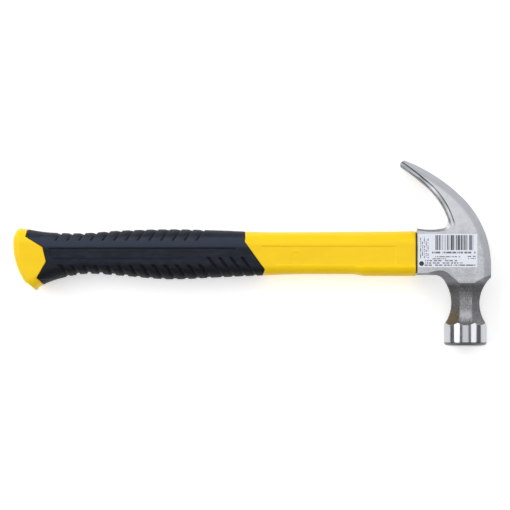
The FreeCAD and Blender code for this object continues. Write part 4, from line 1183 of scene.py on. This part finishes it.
@dataclass
class Grip:
    """The rubber grip: grooves along both edges and a shallow panel on each side."""

    form: HandleForm
    finish: SoftRubber = SoftRubber()
    wall: float = 2.35
    edge_round: float = 0.75
    rows_along: int = 330
    panel: SidePanel = SidePanel()
    grooves: tuple[GrooveRow, ...] = (
        GrooveRow(-283.4, 13, 8.1, 8.2, 1, 0.70, 3.8, 0.45, 1.1, 0.62, Cut.SAWTOOTH, 1.5),
        GrooveRow(-280.0, 13, 8.07, -8.0, -1, 0.73, 2.3, 1.2, 1.25, 0.65, Cut.CHANNEL, 0.5),
        GrooveRow(-177.4, 4, 7.75, -2.7, -1, 0.72, 1.7, 1.0, 1.15, 0.62, Cut.CHANNEL, 0.5),
    )

    def relief(self, x: float, y: float, facing: float) -> float:
        """Depth of the grooves and the panel at a place.

        Args:
            x: the place along the handle.
            y: its height.
            facing: how squarely the surface faces sideways, up to 1.

        Returns:
            The depth, in millimetres.
        """
        depth = max(row.depth_at(x, y) for row in self.grooves)
        return max(depth, self.panel.depth_at(x, y)) if abs(facing) > 0.8 else depth

    def build(self, centre: Vector) -> bpy.types.Object:
        """Model the grip and give it its rubber.

        Args:
            centre: where the hammer's own origin lies in the frame, in metres.

        Returns:
            The piece.
        """
        radius = self.edge_round
        rows = lip(Zone.UNDER_GRIP, 0.0, radius, -1, self.wall)
        for step in range(1, self.rows_along):
            part = step / self.rows_along
            rows.append(Row(Zone.UNDER_GRIP, part, radius * (2 * part - 1)))
        rows += reversed(lip(Zone.UNDER_GRIP, 1.0, radius, 1, self.wall))
        rows += [Row(Zone.UNDER_GRIP, part / 10, 0.0, self.wall) for part in range(9, 0, -1)]
        girth = Girth((-4.1, -3.3, 3.2, 4.0), (5, 4, 14, 4, 4))
        sleeve = Sleeve(self.form, girth, gap=0.22)
        piece = sleeve.build("grip_skin", rows, self.relief, centre, looped=True)
        piece.data.materials.append(self.finish.make(centre))
        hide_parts("grip")
        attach(piece, "root")
        return piece


# ------------------------------------------------------------------ jacket


@dataclass
class Jacket:
    """The yellow moulding: shaft with side panels and guard, seat under the grip, and butt."""

    form: HandleForm
    finish: MouldedYellow = MouldedYellow()
    seat: float = 2.6
    edge_round: float = 0.45
    butt_round: float = 5.0
    shaft_rows: int = 225
    butt_rows: int = 34
    panel: tuple[float, float, float, float] = (-141.2, -48.3, -7.85, 5.15)
    panel_slant: float = 0.70
    panel_depth: float = 0.36
    ring: tuple[float, float, float] = (-116.9, -3.1, 4.9)
    ring_height: float = 0.2
    guard: tuple[float, float, float] = (-78.5, -69.5, 1.25)
    guard_top: float = -8.4
    detail_to: float = -160.0

    def relief(self, x: float, y: float, facing: float) -> float:
        """Depth of the moulded detail at a place.

        Args:
            x: the place along the handle.
            y: its height.
            facing: how squarely the surface faces sideways, up to 1.

        Returns:
            The depth, in millimetres, less than 0 where it is raised.
        """
        if x < self.detail_to:
            return 0.0
        depth = 0.0
        left, right, low, high = self.panel
        if abs(facing) > 0.9 and low - 0.4 < y < high + 0.4:
            slant = left + (high - y) * self.panel_slant
            inside = ease(y, low - 0.2, low + 0.25) * (1 - ease(y, high - 0.25, high + 0.2))
            inside *= ease(x, slant - 0.35, slant + 0.35) * (1 - ease(x, right - 0.35, right + 0.35))
            depth += self.panel_depth * inside
            reach = math.hypot(x - self.ring[0], y - self.ring[1])
            depth -= self.ring_height * (1 - ease(abs(reach - self.ring[2]), 0.15, 0.6)) * inside
        start, full, rise = self.guard
        depth -= rise * ease(x, start, full) * (1 - ease(y, self.guard_top - 0.45, self.guard_top + 0.35))
        return depth

    def build(self, centre: Vector) -> bpy.types.Object:
        """Model the jacket and give it its plastic.

        Args:
            centre: where the hammer's own origin lies in the frame, in metres.

        Returns:
            The piece.
        """
        rows = [Row(Zone.SHAFT, 0.0, 0.0, 0.6, shrink) for shrink in (0.0, 0.35, 0.7, 0.97)]
        rows += lip(Zone.SHAFT, 0.0, 0.6, -1, 0.62, 3)[2:]
        for step in range(1, self.shaft_rows):
            part = step / self.shaft_rows
            rows.append(Row(Zone.SHAFT, part, lerp(-0.6, self.edge_round, part)))
        rows += reversed(lip(Zone.SHAFT, 1.0, self.edge_round, 1, self.seat))
        rows += [Row(Zone.UNDER_GRIP, part / 12, 0.0, self.seat) for part in range(1, 12)]
        rows += lip(Zone.BUTT, 0.0, self.edge_round, -1, self.seat)
        for step in range(1, self.butt_rows):
            part = step / self.butt_rows
            rows.append(Row(Zone.BUTT, part, lerp(-self.edge_round, self.butt_round, part)))
        rows += reversed(lip(Zone.BUTT, 1.0, self.butt_round, 1, self.butt_round, 8)[2:])
        rows += [Row(Zone.BUTT, 1.0, 0.0, self.butt_round, shrink / 10) for shrink in range(9, -1, -1)]
        girth = Girth((-8.05, -7.6, 4.9, 5.35), (2, 2, 26, 2, 2), arc=26, end=12)
        sleeve = Sleeve(self.form, girth, gap=0.0)
        piece = sleeve.build("jacket_skin", rows, self.relief, centre, looped=False)
        piece.data.materials.append(self.finish.make(centre))
        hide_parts("jacket")
        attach(piece, "root")
        return piece


# ------------------------------------------------------------------ pieces kept as made


class Finish(Protocol):
    """Anything that can make a material for a piece."""

    def make(self, centre: Vector) -> bpy.types.Material:
        """Build the material for a piece measured from the given point."""


@dataclass
class Dressed:
    """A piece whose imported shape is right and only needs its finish."""

    node: str
    finish: Finish

    def build(self, nodes: dict[str, bpy.types.Object], centre: Vector) -> bpy.types.Object:
        """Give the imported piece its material.

        Args:
            nodes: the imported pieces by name.
            centre: where the hammer's own origin lies in the frame, in metres.

        Returns:
            The piece.
        """
        piece = nodes[self.node]
        piece.data.materials.clear()
        piece.data.materials.append(self.finish.make(centre))
        return piece


# ------------------------------------------------------------------ studio


@dataclass(frozen=True)
class Softbox:
    """One large rectangular lamp, aimed at the hammer's head."""

    name: str
    tilt: float
    lean: float
    distance: float
    width: float
    length: float
    power: float

    def place(self, target: Vector) -> None:
        """Hang the lamp.

        The tilt swings it towards +X and the lean towards +Y, both in degrees from above.

        Args:
            target: the point it is aimed at, in metres.
        """
        data = bpy.data.lights.new(self.name, "AREA")
        data.shape = "RECTANGLE"
        data.size, data.size_y = self.width, self.length
        data.energy = self.power
        lamp = bpy.data.objects.new(self.name, data)
        tilt, lean = math.radians(self.tilt), math.radians(self.lean)
        away = Vector((math.sin(tilt) * math.cos(lean), math.sin(lean), math.cos(tilt) * math.cos(lean)))
        lamp.location = target + away * self.distance
        lamp.rotation_euler = (-lean, tilt, 0)
        lamp.visible_camera = False
        bpy.context.scene.collection.objects.link(lamp)


@dataclass
class Studio:
    """Pale floor, soft lamps and the overhead camera."""

    width: float = 352.9
    middle: tuple[float, float] = (-145.5, -1.0)
    height: float = 4.0
    sensor: float = 36.0
    sky: Colour = (0.95, 0.97, 1.0)
    glow: float = 0.18
    floor_half: float = 6.0
    lamps: tuple[Softbox, ...] = (
        Softbox("overhead", -1.0, 18.0, 2.2, 1.37, 3.7, 15.0),
        Softbox("left_bank", -47.6, 18.0, 2.2, 1.18, 3.7, 37.0),
        Softbox("right_bank", 44.0, 18.0, 2.2, 1.26, 3.7, 23.0),
    )

    def build(self, centre: Vector) -> None:
        """Lay the floor, hang the lamps and set the camera.

        Args:
            centre: where the hammer's own origin lies in the frame, in metres.
        """
        bm = bmesh.new()
        bmesh.ops.create_grid(bm, x_segments=4, y_segments=4, size=self.floor_half)
        floor = settle(bm, "floor", smooth=False)
        floor.data.materials.append(PaleFloor().make())
        for lamp in self.lamps:
            lamp.place(centre)
        scene = bpy.context.scene
        camera = bpy.data.objects.new("camera", bpy.data.cameras.new("camera"))
        scene.collection.objects.link(camera)
        camera.data.sensor_width = self.sensor
        camera.data.lens = self.sensor * (self.height - centre.z) / (self.width * MM)
        camera.data.clip_end = 50
        camera.location = centre + Vector((self.middle[0] * MM, self.middle[1] * MM, 0))
        camera.location.z = self.height
        scene.camera = camera
        scene.world = bpy.data.worlds.new("studio")
        scene.world.use_nodes = True
        background = scene.world.node_tree.nodes["Background"]
        background.inputs[0].default_value = (*self.sky, 1.0)
        background.inputs[1].default_value = self.glow
        scene.view_settings.view_transform = "Standard"


def main() -> None:
    """Build the hammer's pieces in order, then the studio, and log each piece's face count."""
    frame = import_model()
    low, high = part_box("head")
    centre = Vector(
        (high[0] - AXIS_FROM_TOP * MM, low[1] + AXIS_FROM_FACE * MM, low[2] + AXIS_HEIGHT * MM)
    )
    form = HandleForm()
    kept = (
        Dressed("head", ForgedSteel()),
        Dressed("core_rod", SawnFibreglass()),
        Dressed("eye_bond", CastResin()),
        Dressed("label", PrintedSticker()),
    )
    for part in kept:
        piece = part.build(frame["nodes"], centre)
        log.info("%s: kept as made, %d faces", piece.name, len(piece.data.polygons))
    for part in (Jacket(form), Grip(form)):
        piece = part.build(centre)
        log.info("%s: modelled, %d faces", piece.name, len(piece.data.polygons))
    Studio().build(centre)


if __name__ == "__main__":
    logging.basicConfig(level=logging.INFO)
    main()
